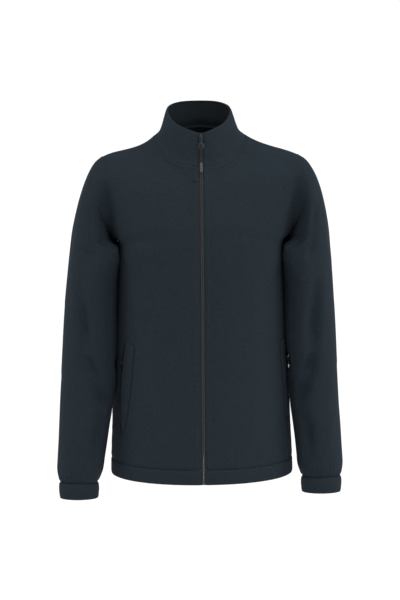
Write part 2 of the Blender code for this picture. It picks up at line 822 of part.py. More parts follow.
def make_front_zip(side, name, finish):
    """Half of the zip: the coil fills the gap, and its tape lies behind the cloth."""
    section = (
        (ZIP_MIDDLE_GAP, COIL_RECESS),
        (COIL_EDGE, COIL_RECESS),
        (COIL_EDGE, TAPE_BEHIND),
        (TAPE_EDGE, TAPE_BEHIND),
        (TAPE_EDGE, TAPE_BACK),
        (ZIP_MIDDLE_GAP, TAPE_BACK),
    )
    neck, top = NECK_SEAM[0].height, COLLAR_RIM[0].height
    heights = [HEM_HEIGHT + (neck - HEM_HEIGHT) * k / ZIP_BODY_ROWS for k in range(ZIP_BODY_ROWS)]
    heights += [neck + (top - neck) * up for up in COLLAR_LEVELS]
    points = []
    for height in heights:
        point, out, _ = front_frame(height)
        for across, depth in section:
            points.append(point - depth * out + Vector((side * across, 0, 0)))
    count = len(section)
    faces = grid_faces(len(heights), count, closed=True, flip=side == RIGHT)
    ends = [tuple(range(count)), tuple(range(len(points) - 1, len(points) - 1 - count, -1))]
    if side == LEFT:
        ends = [end[::-1] for end in ends]
    return add_object(name, points, faces + ends, finish)


def block(name, corners, low, high, finish):
    """A solid whose outline lies in its own XY plane, from low to high along its Z."""
    count = len(corners)
    points = [(x, y, z) for z in (low, high) for x, y in corners]
    faces = [tuple(range(count - 1, -1, -1)), tuple(range(count, 2 * count))]
    for i in range(count):
        after = (i + 1) % count
        faces.append((i, after, after + count, i + count))
    return add_object(name, points, faces, finish)


def combine(target, other, operation):
    """Join or cut target with other, and take other away."""
    change = target.modifiers.new(operation.lower(), "BOOLEAN")
    change.operation = operation
    change.object = other
    mesh = bpy.data.meshes.new_from_object(
        target.evaluated_get(bpy.context.evaluated_depsgraph_get())
    )
    target.modifiers.clear()
    target.data = mesh
    bpy.data.objects.remove(other, do_unlink=True)


def placed(across, along, out, origin):
    """The matrix of a frame: local X runs across, local Y along and local Z out."""
    frame = Matrix((across, along, out)).transposed().to_4x4()
    frame.translation = origin
    return frame


def make_slider(name, size, frame, finish):
    """A slider: a plate over the coil, with a bridge that the tab's bar lies in."""
    half, end = size.plate_width / 2, size.plate_length / 2
    outline = (
        (-half, PLATE_CORNER - end),
        (-half * PLATE_CROWN, -end),
        (half * PLATE_CROWN, -end),
        (half, PLATE_CORNER - end),
        (half * PLATE_WAIST, end / 2),
        (half * PLATE_TAIL, end),
        (-half * PLATE_TAIL, end),
        (-half * PLATE_WAIST, end / 2),
    )
    slider = block(name, outline, 0.0, PLATE_THICKNESS, finish)
    scale = size.scale
    leg, rise = BRIDGE_HALF_LENGTH * scale, BRIDGE_RISE * scale
    bar, foot = BRIDGE_BAR * scale, -BRIDGE_FOOT
    staple = (
        (-leg, foot),
        (-leg, rise - bar),
        (-leg + bar, rise),
        (leg - bar, rise),
        (leg, rise - bar),
        (leg, foot),
        (leg - bar, foot),
        (leg - bar, rise - bar),
        (bar - leg, rise - bar),
        (bar - leg, foot),
    )
    width = BRIDGE_WIDTH * scale / 2
    bridge = block(name + "_bridge", staple, -width, width, finish)
    turn = Matrix(((0, 0, 1), (1, 0, 0), (0, 1, 0))).to_4x4()
    bridge.data.transform(Matrix.Translation((0, 0, PLATE_THICKNESS)) @ turn)
    bpy.context.view_layer.update()
    combine(slider, bridge, "UNION")
    slider.matrix_world = frame
    return slider


def make_tab(name, scale, frame, finish):
    """The tab: a flat plate with a window round its bar and a ring at its end."""
    right = [(edge.half_width * scale, edge.along * scale) for edge in TAB]
    outline = right + [(-x, y) for x, y in reversed(right)]
    thick = TAB_THICKNESS * scale / 2
    tab = block(name, outline, -thick, thick, finish)
    near, far, width = (value * scale for value in TAB_WINDOW)
    window = ((-width / 2, near), (width / 2, near), (width / 2, far), (-width / 2, far))
    sides = 12
    ring = [
        (
            TAB_RING_HOLE * scale * math.cos(2 * math.pi * k / sides),
            TAB_RING_MIDDLE * scale + TAB_RING_HOLE * scale * math.sin(2 * math.pi * k / sides),
        )
        for k in range(sides)
    ]
    for hole, corners in (("window", window), ("ring", ring)):
        cutter = block(f"{name}_{hole}", corners, -2 * thick, 2 * thick, finish)
        bpy.context.view_layer.update()
        combine(tab, cutter, "DIFFERENCE")
    tab.matrix_world = frame
    return tab


def make_bar(name, size, frame, finish):
    """A straight piece with its four long edges cut back."""
    near, far, width, thickness = size
    half, flat, cut = width / 2, thickness / 2, thickness * 0.3
    section = (
        (-half + cut, -flat),
        (half - cut, -flat),
        (half, -flat + cut),
        (half, flat - cut),
        (half - cut, flat),
        (cut - half, flat),
        (-half, flat - cut),
        (-half, cut - flat),
    )
    bar = block(name, section, near, far, finish)
    bar.data.transform(Matrix(((1, 0, 0), (0, 0, 1), (0, -1, 0))).to_4x4())
    bar.matrix_world = frame
    return bar


def make_front_pull(metal, cord, rubber):
    point, out, down = front_frame(SLIDER_HEIGHT)
    across = down.cross(out)
    lift = SLIDER_LIFT
    seat = placed(across, down, out, point + lift * out)
    make_slider("front_zip_slider", FRONT_PULL, seat, metal)
    hinge = point + (lift + PLATE_THICKNESS + HINGE_RISE) * out
    hang = Vector((0, -math.sin(PULL_LEAN), -math.cos(PULL_LEAN)))
    face = Vector((0, -math.cos(PULL_LEAN), math.sin(PULL_LEAN)))
    frame = placed(hang.cross(face), hang, face, hinge)
    make_tab("front_zip_pull", FRONT_PULL.scale, frame, metal)
    make_bar("front_zip_pull_cord", PULL_CORD, frame, cord)
    make_bar("front_zip_pull_tip", PULL_TIP, frame, rubber)


# ---------------------------------------------------------------- pockets


def pocket_place(side, height, along):
    """A point on the front, along metres behind the welt's front edge, and its normal."""
    line = np.array(body_arc(side, FRONT, height))
    lengths = np.concatenate([[0], np.cumsum(np.linalg.norm(np.diff(line, axis=0), axis=1))])
    front_edge = smooth(POCKETS[side], "height", "front_edge", height)
    start = np.interp(front_edge, np.abs(line[:, 0]), lengths)
    place = [np.interp(start + along, lengths, line[:, axis]) for axis in range(3)]
    step = 0.004
    before, after = (
        Vector([np.interp(start + along + move, lengths, line[:, axis]) for axis in range(3)])
        for move in (-step, step)
    )
    run = after - before
    return Vector(place), Vector((side * abs(run.y), -abs(run.x), 0)).normalized()


def lay_strip(side, name, start, width, columns, heights, thickness, finish):
    """A strip that lies on the front, from start to start + width behind the welt's edge.

    start and width are functions of the height.
    """
    points = []
    for height in heights:
        for column in range(columns + 1):
            along = start(height) + width(height) * column / columns
            point, normal = pocket_place(side, height, along)
            points.append(point + (SEAM_GAP + thickness) * normal)
    faces = grid_faces(len(heights), columns + 1, flip=side == RIGHT)
    return wall(name, points, faces, {}, thickness, finish)


def make_pocket(side, name, fleece, tape, metal):
    table = POCKETS[side]
    span = POCKET_TOP - POCKET_BOTTOM
    heights = [POCKET_BOTTOM + span * k / POCKET_ROWS for k in range(POCKET_ROWS + 1)]

    def welt_width(height):
        return smooth(table, "height", "width", height)

    lay_strip(
        side,
        f"pocket_welt_{name}",
        start=lambda height: 0.0,
        width=welt_width,
        columns=WELT_COLUMNS,
        heights=heights,
        thickness=WELT_THICKNESS,
        finish=fleece,
    )
    lay_strip(
        side,
        f"pocket_zip_{name}",
        start=lambda height: welt_width(height) + SEAM_GAP,
        width=lambda height: POCKET_ZIP_WIDTH,
        columns=1,
        heights=heights,
        thickness=POCKET_ZIP_THICKNESS,
        finish=tape,
    )
    height = POCKET_TOP - POCKET_SLIDER_DROP
    along = welt_width(height) + SEAM_GAP + POCKET_ZIP_WIDTH / 2
    point, out = pocket_place(side, height, along)
    below, _ = pocket_place(side, height - 0.01, along)
    down = (below - point).normalized()
    out = (out - out.dot(down) * down).normalized()
    lift = POCKET_ZIP_THICKNESS + 3 * SEAM_GAP
    seat = placed(down.cross(out), down, out, point + lift * out)
    make_slider(f"pocket_slider_{name}", POCKET_PULL, seat, metal)
    hinge = point + (lift + PLATE_THICKNESS + HINGE_RISE * POCKET_PULL.scale) * out
    frame = placed(down.cross(out), down, out, hinge)
    make_tab(f"pocket_pull_{name}", POCKET_PULL.scale, frame, metal)


# ---------------------------------------------------------------- build


def build():
    for old in list(bpy.data.objects):
        bpy.data.objects.remove(old, do_unlink=True)
    fleece = material("navy micro fleece", (0.019, 0.026, 0.036), 0.95)
    tape = material("charcoal woven zip tape", (0.026, 0.030, 0.033), 0.70)
    metal = material("gunmetal plated zinc", (0.080, 0.090, 0.100), 0.35, 1.0)
    cord = material("dark pull cord", (0.015, 0.018, 0.022), 0.80)
    rubber = material("grey rubber tip", (0.160, 0.170, 0.180), 0.60)
    for side, name in SIDES:
        make_front(side, f"front_{name}", fleece)
        make_sleeve(side, f"sleeve_{name}", fleece)
        make_cuff(side, f"cuff_{name}", fleece)
        make_front_zip(side, f"front_zip_{name}", tape)
        make_pocket(side, name, fleece, tape, metal)
    make_back("back", fleece)
    make_hem("hem_band", fleece)
    make_collar("collar", fleece)
    make_front_pull(metal, cord, rubber)


build()
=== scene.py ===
"""Fleece zip jacket: the looks of its pieces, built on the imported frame.

-Y is the jacket's front, +X the wearer's left, +Z up, in metres from the middle of the
neck. The sections follow the jacket as it is sewn together.
"""

import math
from collections import namedtuple

import bmesh
import bpy
import numpy as np
from mathutils import Matrix, Vector
from mathutils.bvhtree import BVHTree


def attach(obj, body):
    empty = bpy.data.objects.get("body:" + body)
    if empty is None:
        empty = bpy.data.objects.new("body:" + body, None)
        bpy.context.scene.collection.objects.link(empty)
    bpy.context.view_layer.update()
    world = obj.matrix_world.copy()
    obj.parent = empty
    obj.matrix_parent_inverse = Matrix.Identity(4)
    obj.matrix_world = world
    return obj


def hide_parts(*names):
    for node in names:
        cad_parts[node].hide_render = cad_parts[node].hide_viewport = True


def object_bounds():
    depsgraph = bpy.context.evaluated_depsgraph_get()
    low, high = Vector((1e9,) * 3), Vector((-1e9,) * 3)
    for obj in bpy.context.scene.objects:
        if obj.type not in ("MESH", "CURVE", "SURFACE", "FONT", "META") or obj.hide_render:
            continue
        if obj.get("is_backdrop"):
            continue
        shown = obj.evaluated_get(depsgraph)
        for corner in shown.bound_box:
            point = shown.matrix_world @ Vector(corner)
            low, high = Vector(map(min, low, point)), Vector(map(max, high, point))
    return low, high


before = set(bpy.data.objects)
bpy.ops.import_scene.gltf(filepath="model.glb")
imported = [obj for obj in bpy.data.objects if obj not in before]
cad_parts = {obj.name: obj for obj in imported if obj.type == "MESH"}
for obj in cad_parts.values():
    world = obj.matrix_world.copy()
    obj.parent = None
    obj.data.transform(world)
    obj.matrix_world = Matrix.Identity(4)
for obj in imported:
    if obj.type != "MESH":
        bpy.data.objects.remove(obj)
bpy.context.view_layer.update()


# ---------------------------------------------------------------- camera and light
# A plain studio: a pale floor well below, a broad soft light at each side, a third from
# above, a weak one from the front, and very little light from the surround.

CAMERA_DISTANCE = 5.0
CAMERA_RISE = math.radians(9.0)
CAMERA_TURN = math.radians(-1.5)
CAMERA_ROLL = math.radians(-0.35)
CAMERA_TARGET = Vector((-0.0016, 0, -0.333))
CAMERA_LENS = 150
FLOOR_HEIGHT = -1.25
FLOOR_SIZE = 400.0
SURROUND = 0.10


def to_linear(colour):
    """An sRGB hex colour as the linear values that a shader takes."""
    values = [int(colour[i : i + 2], 16) / 255 for i in (1, 3, 5)]
    return (*(v / 12.92 if v <= 0.04045 else ((v + 0.055) / 1.055) ** 2.4 for v in values), 1)


def add_node(tree, kind, inputs=(), **settings):
    """Add a node with its settings. inputs gives (socket, value or linked socket)."""
    node = tree.nodes.new(kind)
    for name, value in settings.items():
        setattr(node, name, value)
    for socket, value in inputs:
        if isinstance(value, bpy.types.NodeSocket):
            tree.links.new(value, node.inputs[socket])
        else:
            node.inputs[socket].default_value = value
    return node


def new_material(name):
    """A material with its surface shader, and the place that its patterns are read at."""
    material = bpy.data.materials.new(name)
    material.use_nodes = True
    tree = material.node_tree
    tree.nodes.clear()
    shader = add_node(tree, "ShaderNodeBsdfPrincipled")
    add_node(tree, "ShaderNodeOutputMaterial", [("Surface", shader.outputs[0])])
    place = add_node(tree, "ShaderNodeTexCoord").outputs["Object"]
    return material, tree, shader, place


def set_surface(tree, shader, colours, roughness, specular=None, tone=None, relief=None):
    """A surface in one colour, or in two mixed by tone, raised by relief and its depth."""
    if tone:
        dark, light = (to_linear(colour) for colour in colours)
        mixed = add_node(
            tree, "ShaderNodeMix", [("Factor", tone), (6, dark), (7, light)], data_type="RGBA"
        )
        tree.links.new(mixed.outputs[2], shader.inputs["Base Color"])
    else:
        shader.inputs["Base Color"].default_value = to_linear(colours[0])
    if relief:
        height, strength, depth = relief
        inputs = [("Height", height), ("Strength", strength), ("Distance", depth)]
        raised = add_node(tree, "ShaderNodeBump", inputs)
        tree.links.new(raised.outputs[0], shader.inputs["Normal"])
    if roughness:
        shader.inputs["Roughness"].default_value = roughness
    if specular:
        shader.inputs["Specular IOR Level"].default_value = specular


def new_piece(name, points, faces, finish):
    """A piece of one mesh in one finish."""
    mesh = bpy.data.meshes.new(name)
    mesh.from_pydata(points, [], faces)
    mesh.materials.append(finish)
    piece = bpy.data.objects.new(name, mesh)
    bpy.context.scene.collection.objects.link(piece)
    return piece


away = Vector(
    (
        math.sin(CAMERA_TURN) * math.cos(CAMERA_RISE),
        -math.cos(CAMERA_TURN) * math.cos(CAMERA_RISE),
        math.sin(CAMERA_RISE),
    )
)
lens = bpy.data.cameras.new("camera")
lens.lens = CAMERA_LENS
lens.clip_end = 100
camera = bpy.data.objects.new("camera", lens)
camera.location = CAMERA_TARGET + CAMERA_DISTANCE * away
level = away.to_track_quat("Z", "Y").to_matrix()
camera.rotation_euler = (level @ Matrix.Rotation(CAMERA_ROLL, 3, "Z")).to_euler()
bpy.context.scene.collection.objects.link(camera)
bpy.context.scene.camera = camera

# Matte paint: the floor takes a soft shadow and shows no reflection.
floor_paint, tree, shader, _ = new_material("pale matte studio floor")
set_surface(tree, shader, ("#f4f4f4",), 0.9)
half = FLOOR_SIZE / 2
corners = ((-half, -half), (half, -half), (half, half), (-half, half))
studio_floor = new_piece(
    "studio_floor", [(x, y, FLOOR_HEIGHT) for x, y in corners], [(0, 1, 2, 3)], floor_paint
)
studio_floor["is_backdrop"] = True

world = bpy.data.worlds.new("studio surround")
world.use_nodes = True
world.node_tree.nodes["Background"].inputs["Color"].default_value = (1, 1, 1, 1)
world.node_tree.nodes["Background"].inputs["Strength"].default_value = SURROUND
bpy.context.scene.world = world
bpy.context.scene.view_settings.view_transform = "Standard"

Lamp = namedtuple("Lamp", "name place width power")
LAMPS = (
    Lamp("side light, viewer's right", (1.0, -0.15, 0.8), math.radians(30), 1.40),
    Lamp("side light, viewer's left", (-1.0, -0.15, 0.8), math.radians(30), 1.22),
    Lamp("top light", (0.0, -0.35, 1.0), math.radians(30), 1.80),
    Lamp("front light", (0.6, -0.8, 0.45), math.radians(40), 0.60),
)
for lamp in LAMPS:
    light = bpy.data.lights.new(lamp.name, "SUN")
    light.angle = lamp.width
    light.energy = lamp.power
    holder = bpy.data.objects.new(lamp.name, light)
    holder.rotation_euler = Vector(lamp.place).to_track_quat("Z", "Y").to_euler()
    bpy.context.scene.collection.objects.link(holder)


# ---------------------------------------------------------------- fleece
# Polyester micro-fleece, knitted and then brushed on both sides and sheared. The nap
# scatters light, so it is matte with a faint bloom where it is seen at a slant.

NAP_SIZE = 0.0011
NAP_DEPTH = 0.00035
TUFT_SIZE = 0.0045


def add_speckle(tree, place, size, detail, **roughness):
    """A soft random pattern with spots of a size."""
    inputs = [("Vector", place), ("Scale", 1 / size), ("Detail", detail), *roughness.items()]
    return add_node(tree, "ShaderNodeTexNoise", inputs).outputs["Fac"]


def make_fleece(name, dark, light):
    """Soft tufts a few millimetres wide under a fine nap, so that no light glints on it."""
    material, tree, shader, place = new_material(name)
    nap = add_speckle(tree, place, NAP_SIZE, 2.0, Roughness=0.6)
    tufts = add_speckle(tree, place, TUFT_SIZE, 3.0, Roughness=0.6)
    mixed = add_node(tree, "ShaderNodeMath", [(0, nap), (1, tufts)], operation="ADD").outputs[0]
    shade = add_node(
        tree,
        "ShaderNodeMapRange",
        [("Value", mixed), ("From Min", 0.6), ("From Max", 1.4)],
    ).outputs["Result"]
    height = add_node(
        tree, "ShaderNodeMath", [(0, tufts), (1, 2.0), (2, nap)], operation="MULTIPLY_ADD"
    ).outputs[0]
    set_surface(tree, shader, (dark, light), 0.95, 0.08, shade, (height, 0.6, NAP_DEPTH))
    shader.inputs["Sheen Weight"].default_value = 0.06
    shader.inputs["Sheen Roughness"].default_value = 0.55
    shader.inputs["Sheen Tint"].default_value = to_linear("#8f9db4")
    return material


fleece = make_fleece("brushed navy micro fleece", "#1b2228", "#262f35")


# ---------------------------------------------------------------- fronts
# Two fronts, cut from the fleece with their armholes and their half of the neck, and
# sewn to the back at the sides and at seams that lie a little forward of the shoulders.

FLEECE = 0.0022
SEAM_GAP = 0.0003
RIGHT, LEFT = -1, 1
FRONT, BACK = -1, 1
SIDES = ((RIGHT, "right"), (LEFT, "left"))

Level = namedtuple("Level", "height half_width side_seam front back fullness")
BODY = (
    Level(-0.680, 0.1832, -0.005, 0.1405, 0.130, 0.580),
    Level(-0.640, 0.1825, 0.005, 0.1398, 0.130, 0.600),
    Level(-0.575, 0.1800, 0.022, 0.1373, 0.127, 0.630),
    Level(-0.500, 0.1785, 0.036, 0.1350, 0.123, 0.650),
    Level(-0.420, 0.1755, 0.040, 0.1330, 0.120, 0.655),
    Level(-0.330, 0.1705, 0.038, 0.1330, 0.118, 0.670),
    Level(-0.260, 0.1664, 0.026, 0.1310, 0.119, 0.705),
    Level(-0.213, 0.1650, 0.018, 0.1290, 0.120, 0.760),
)
HEM_HEIGHT = -0.680
HEM_SEAM = -0.650
ARMPIT = -0.213
BODY_ROWS = 15
PANEL_COLUMNS = 12

Middle = namedtuple("Middle", "height reach")
MIDDLE = {
    FRONT: (
        Middle(-0.213, 0.129),
        Middle(-0.150, 0.122),
        Middle(-0.100, 0.109),
        Middle(-0.057, 0.091),
    ),
    BACK: (
        Middle(-0.213, 0.120),
        Middle(-0.130, 0.121),
        Middle(-0.060, 0.110),
        Middle(-0.015, 0.088),
        Middle(0.008, 0.072),
    ),
}

Armhole = namedtuple("Armhole", "turn out pointing")
ARMHOLE = (
    Armhole(0, 0.1650, 1.25),
    Armhole(45, 0.1840, 1.15),
    Armhole(90, 0.2040, 1.00),
    Armhole(130, 0.2035, 1.00),
    Armhole(180, 0.1930, 1.00),
)
ARMPIT_BACK = 0.018
ARMHOLE_TOP = {RIGHT: -0.0435, LEFT: -0.0418}
ARMHOLE_HALF_DEPTH = 0.066

# The turns round the armhole that a panel's rows above the armpit end at, and which of
# those rows starts from the neck.
TURNS = {
    FRONT: (0, 30, 46, 58, 70, 81, 92, 104, 115, 125, 135, 145, 155, 165),
    BACK: (0, 30, 46, 60, 72, 84, 96, 108, 120, 132, 145, 158, 170, 183, 195),
}
NECK_ROW = {FRONT: 7, BACK: 8}
SHOULDER_SEAM_TURN = 80
SHOULDER_DIP = {RIGHT: 0.0248, LEFT: 0.0126}
PANEL_EDGE = 0.0050
# Rows on each side of the neck's front end that are evened out, and how many times.
EASED_ROWS = 4
EASINGS = 12
SNAP_REACH = 0.030

Yoke = namedtuple("Yoke", "turn first_across last_across first_back last_back")
YOKE = (
    Yoke(0, 0.76, 1.00, 0.00, 0.24),
    Yoke(30, 0.68, 0.93, 0.00, 0.37),
    Yoke(50, 0.63, 0.86, 0.00, 0.42),
    Yoke(90, 0.52, 0.76, 0.02, 0.42),
    Yoke(130, 0.42, 0.70, 0.18, 0.52),
    Yoke(165, 0.33, 0.67, 0.33, 0.67),
    Yoke(195, 0.33, 0.67, 0.33, 0.67),
)

Neck = namedtuple("Neck", "turn height")
NECK_SEAM = (
    Neck(0, -0.057),
    Neck(30, -0.051),
    Neck(55, -0.036),
    Neck(75, -0.013),
    Neck(90, -0.004),
    Neck(110, -0.001),
    Neck(140, 0.006),
    Neck(180, 0.008),
)
NECK_HALF_WIDTH = 0.0912
NECK_FRONT = 0.091
NECK_BACK = 0.072

# Finer steps of a grid beside a seam, as shares of the first step of its coarse net.
SEAM_STEPS = (0, 0.04, 0.09, 0.15, 0.24, 0.36, 0.52, 0.75)
# How far a seam draws the cloth in, and how far from the seam that reaches.
SEAM_DIP = 0.0009
ARMHOLE_DIP = 0.00003
BAND_DIP = 0.0019
SEAM_REACH = 0.0028
PUCKER = 0.00022
PUCKER_REACH = 0.009
# The waves of the puckers along a seam: how long and how strong each is, and its start.
PUCKER_WAVES = ((0.0105, 1.0, 0.0), (0.0163, 0.8, 1.1), (0.0274, 0.6, 2.3))
# The side seams lie flat in this many rows under the armpit, where four pieces meet.
ROWS_UNDER_ARMPIT = 3
# The way down the front from a shoulder seam, and how far out the cloth leaves the neck.
SHOULDER_SEAM_WAY = (0, -0.944, -0.330)
NECK_SPREAD = 0.8
# How far from a seam its stiffness keeps creases away.
SEAM_HOLD = 0.007
# A seam on a grid's first or last row (axis 0) or column (axis 1), from its first step on.
Seam = namedtuple("Seam", "axis at_end first last dip pucker")

Crease = namedtuple("Crease", "seen path depth width")
FRONT_CREASES = {
    RIGHT: (
        Crease("front", ((-0.158, -0.226), (-0.125, -0.205), (-0.085, -0.196)), 0.0022, 0.012),
        Crease("front", ((-0.160, -0.250), (-0.128, -0.270), (-0.105, -0.330)), 0.0024, 0.016),
        Crease("front", ((-0.092, -0.300), (-0.108, -0.365), (-0.130, -0.425)), 0.0026, 0.014),
        Crease("front", ((-0.062, -0.330), (-0.070, -0.450), (-0.058, -0.560)), 0.0018, 0.022),
        Crease("front", ((-0.120, -0.470), (-0.104, -0.540), (-0.110, -0.632)), -0.0016, 0.016),
        Crease("front", ((-0.030, -0.120), (-0.036, -0.250), (-0.030, -0.330)), -0.0009, 0.020),
    ),
    LEFT: (
        Crease("front", ((0.158, -0.228), (0.120, -0.214), (0.080, -0.212)), 0.0020, 0.013),
        Crease("front", ((0.160, -0.255), (0.134, -0.300), (0.128, -0.380)), 0.0026, 0.017),
        Crease("front", ((0.128, -0.350), (0.138, -0.450), (0.130, -0.560)), 0.0022, 0.015),
        Crease("front", ((0.070, -0.280), (0.082, -0.400), (0.078, -0.560)), 0.0018, 0.024),
        Crease("front", ((0.104, -0.500), (0.098, -0.570), (0.112, -0.632)), -0.0014, 0.015),
        Crease("front", ((0.032, -0.140), (0.038, -0.260), (0.028, -0.360)), -0.0009, 0.021),
    ),
}


# The hollows at the armholes, where chest and sleeve both fall away from the light.
Hollow = namedtuple("Hollow", "facing path depth width")
HOLLOWS = {
    RIGHT: (
        Hollow(FRONT, ((-0.186, -0.085), (-0.180, -0.150), (-0.168, -0.225)), 0.0095, 0.013),
        Hollow(FRONT, ((-0.206, -0.070), (-0.209, -0.125), (-0.199, -0.190)), -0.0060, 0.010),
        Hollow(BACK, ((-0.192, -0.085), (-0.190, -0.150), (-0.172, -0.215)), 0.0040, 0.014),
    ),
    LEFT: (
        Hollow(FRONT, ((0.190, -0.080), (0.184, -0.150), (0.170, -0.222)), 0.0095, 0.014),
        Hollow(FRONT, ((0.213, -0.070), (0.216, -0.125), (0.206, -0.190)), -0.0060, 0.010),
        Hollow(BACK, ((0.192, -0.085), (0.190, -0.150), (0.172, -0.215)), 0.0040, 0.014),
    ),
}
HOLLOW_START = -0.010
HOLLOW_BLEND = 0.040


def smooth(table, key, column, at):
    """Read a table's column between its rows, on a monotone cubic curve."""
    rows = sorted(table, key=lambda row: getattr(row, key))
    keys = [getattr(row, key) for row in rows]
    values = [getattr(row, column) for row in rows]
    slopes = np.diff(values) / np.diff(keys)
    tangents = [slopes[0]]
    for before, after in zip(slopes, slopes[1:]):
        same_way = before * after > 0
        tangents.append(2 * before * after / (before + after) if same_way else 0.0)
    tangents.append(slopes[-1])
    i = min(max(int(np.searchsorted(keys, at)) - 1, 0), len(slopes) - 1)
    span = keys[i + 1] - keys[i]
    t = min(max((at - keys[i]) / span, 0.0), 1.0)
    return float(
        values[i] * (1 + 2 * t) * (1 - t) ** 2
        + values[i + 1] * t * t * (3 - 2 * t)
        + span * tangents[i] * t * (1 - t) ** 2
        - span * tangents[i + 1] * t * t * (1 - t)
    )


def read(table, height, *columns):
    """Read several columns of a table at one height."""
    return (smooth(table, "height", column, height) for column in columns)


def lengths_along(line):
    """How far along a line of points each of them lies."""
    return np.concatenate([[0], np.cumsum(np.linalg.norm(np.diff(line, axis=0), axis=1))])


def ease(share):
    """A share from 0 to 1 that leaves and arrives gently."""
    return share * share * (3 - 2 * share)


def signed_power(value, power):
    """A power that keeps the sign of its value."""
    return math.copysign(abs(value) ** power, value)


def evenly(points, count):
    """Place count + 1 points at equal steps along a line of points."""
    line = np.array(points)
    along = lengths_along(line)
    steps = np.linspace(0, along[-1], count + 1)
    return [Vector(np.interp(step, along, line[:, axis]) for axis in range(3)) for step in steps]


def armhole_seam(side, face, turn):
    """A point of the armhole, from the armpit (0 degrees) to the shoulder (180)."""
    angle = math.radians(turn)
    mirrored = min(turn, 360 - turn)
    power = smooth(ARMHOLE, "turn", "pointing", mirrored)
    forward = signed_power(math.sin(angle), power)
    up = -signed_power(math.cos(angle), power)
    return Vector(
        (
            side * smooth(ARMHOLE, "turn", "out", mirrored),
            face * ARMHOLE_HALF_DEPTH * forward + ARMPIT_BACK * (1 - up) / 2,
            ARMPIT + (ARMHOLE_TOP[side] - ARMPIT) * (1 + up) / 2,
        )
    )


def neck_ring(turn, side, half_width, front, back):
    """A point round the neck. The front's ends stand back from the zip."""
    angle = math.radians(turn)
    if turn <= 90:
        across = PANEL_EDGE + (half_width - PANEL_EDGE) * math.sin(angle)
        return side * across, -front * math.cos(angle)
    return side * half_width * math.sin(angle), -back * math.cos(angle)


def neck_seam(side, turn):
    """A point of the neck seam, and the way down the body from it."""
    x, y = neck_ring(turn, side, NECK_HALF_WIDTH, NECK_FRONT, NECK_BACK)
    radial = Vector((x / NECK_HALF_WIDTH, y / NECK_FRONT, 0)).normalized()
    down_body = (NECK_SPREAD * radial - Vector((0, 0, 1))).normalized()
    return Vector((x, y, smooth(NECK_SEAM, "turn", "height", turn))), down_body


def bezier(start, first, last, end, count=60):
    """Points along the cubic curve that leaves start for first and reaches end from last."""
    points = []
    for step in range(count + 1):
        t = step / count
        points.append(
            start * (1 - t) ** 3
            + first * 3 * t * (1 - t) ** 2
            + last * 3 * t * t * (1 - t)
            + end * t**3
        )
    return points


def body_arc(side, face, height):
    """A level line round one quarter of the body, from the middle to the side seam."""
    reach_there = "front" if face == FRONT else "back"
    half_width, reach, fullness, side_seam = read(
        BODY, height, "half_width", reach_there, "fullness", "side_seam"
    )
    inner = PANEL_EDGE if face == FRONT else 0.0
    start = Vector((side * inner, face * reach, height))
    end = Vector((side * half_width, side_seam, height))
    first = start + Vector((fullness * (end.x - start.x), 0, 0))
    last = end + Vector((0, fullness * (start.y - end.y), 0))
    return bezier(start, first, last, end)


def yoke_arc(side, face, row):
    """A line from the middle or the neck to the armhole, above the armpit."""
    turns = TURNS[face]
    neck_row = NECK_ROW[face]
    middle = MIDDLE[face]
    last_row = len(turns) - 1
    end = armhole_seam(side, face, turns[row])
    if row < neck_row:
        height = ARMPIT + row / neck_row * (middle[-1].height - ARMPIT)
        inner = PANEL_EDGE if face == FRONT else 0.0
        start = Vector((side * inner, face * smooth(middle, "height", "reach", height), height))
    else:
        share = (row - neck_row) / (last_row - neck_row)
        first_turn = 0 if face == FRONT else 180
        start, _ = neck_seam(side, first_turn + share * (SHOULDER_SEAM_TURN - first_turn))
    way = end - start
    turn = turns[row]
    dip = Vector((0, 0, SHOULDER_DIP[side] * (row / last_row) ** 3))
    first, last = (
        start
        + Vector(
            (
                way.x * smooth(YOKE, "turn", f"{which}_across", turn),
                way.y * smooth(YOKE, "turn", f"{which}_back", turn),
                way.z * thirds / 3,
            )
        )
        for which, thirds in (("first", 1), ("last", 2))
    )
    return bezier(start, first - dip, last + dip / 4, end)


def panel_net(side, face):
    """The coarse net of half a front or back, from the hem seam to the shoulder seam."""
    turns = TURNS[face]
    neck_row = BODY_ROWS + NECK_ROW[face]
    rows = []
    for step in range(BODY_ROWS):
        height = HEM_SEAM + (ARMPIT - HEM_SEAM) * step / BODY_ROWS
        rows.append(evenly(body_arc(side, face, height), PANEL_COLUMNS))
    for row in range(len(turns)):
        rows.append(evenly(yoke_arc(side, face, row), PANEL_COLUMNS))
    net = np.array(rows)
    eased = slice(neck_row - EASED_ROWS, neck_row + EASED_ROWS + 1)
    for _ in range(EASINGS):
        between = (net[:-2, 1:-1] + net[2:, 1:-1]) / 2
        net[eased, 1:-1] += (between - net[1:-1, 1:-1])[
            neck_row - EASED_ROWS - 1 : neck_row + EASED_ROWS
        ] / 2
    half_gap = SEAM_GAP / 2
    net[: BODY_ROWS + 1, -1, 1] += face * half_gap
    for row in range(neck_row, len(rows)):
        first_turn = 0 if face == FRONT else 180
        share = (row - neck_row) / (len(rows) - 1 - neck_row)
        _, down_body = neck_seam(side, first_turn + share * (SHOULDER_SEAM_TURN - first_turn))
        net[row, 0] += half_gap * np.array(down_body)
    net[-1] += -face * half_gap * np.array(SHOULDER_SEAM_WAY)
    net[0, :, 2] += half_gap
    return net


def steps_between(count, per_step, start_seam=True):
    """Places along count steps of a net, closer together beside the seams at its ends."""
    places = list(np.arange(0, count, 1 / per_step))
    if start_seam:
        places = [*SEAM_STEPS, *(place for place in places if place >= 1)]
    places = [place for place in places if place <= count - 1]
    places += [count - step for step in SEAM_STEPS]
    return np.array(sorted(set(np.round(places, 4))))


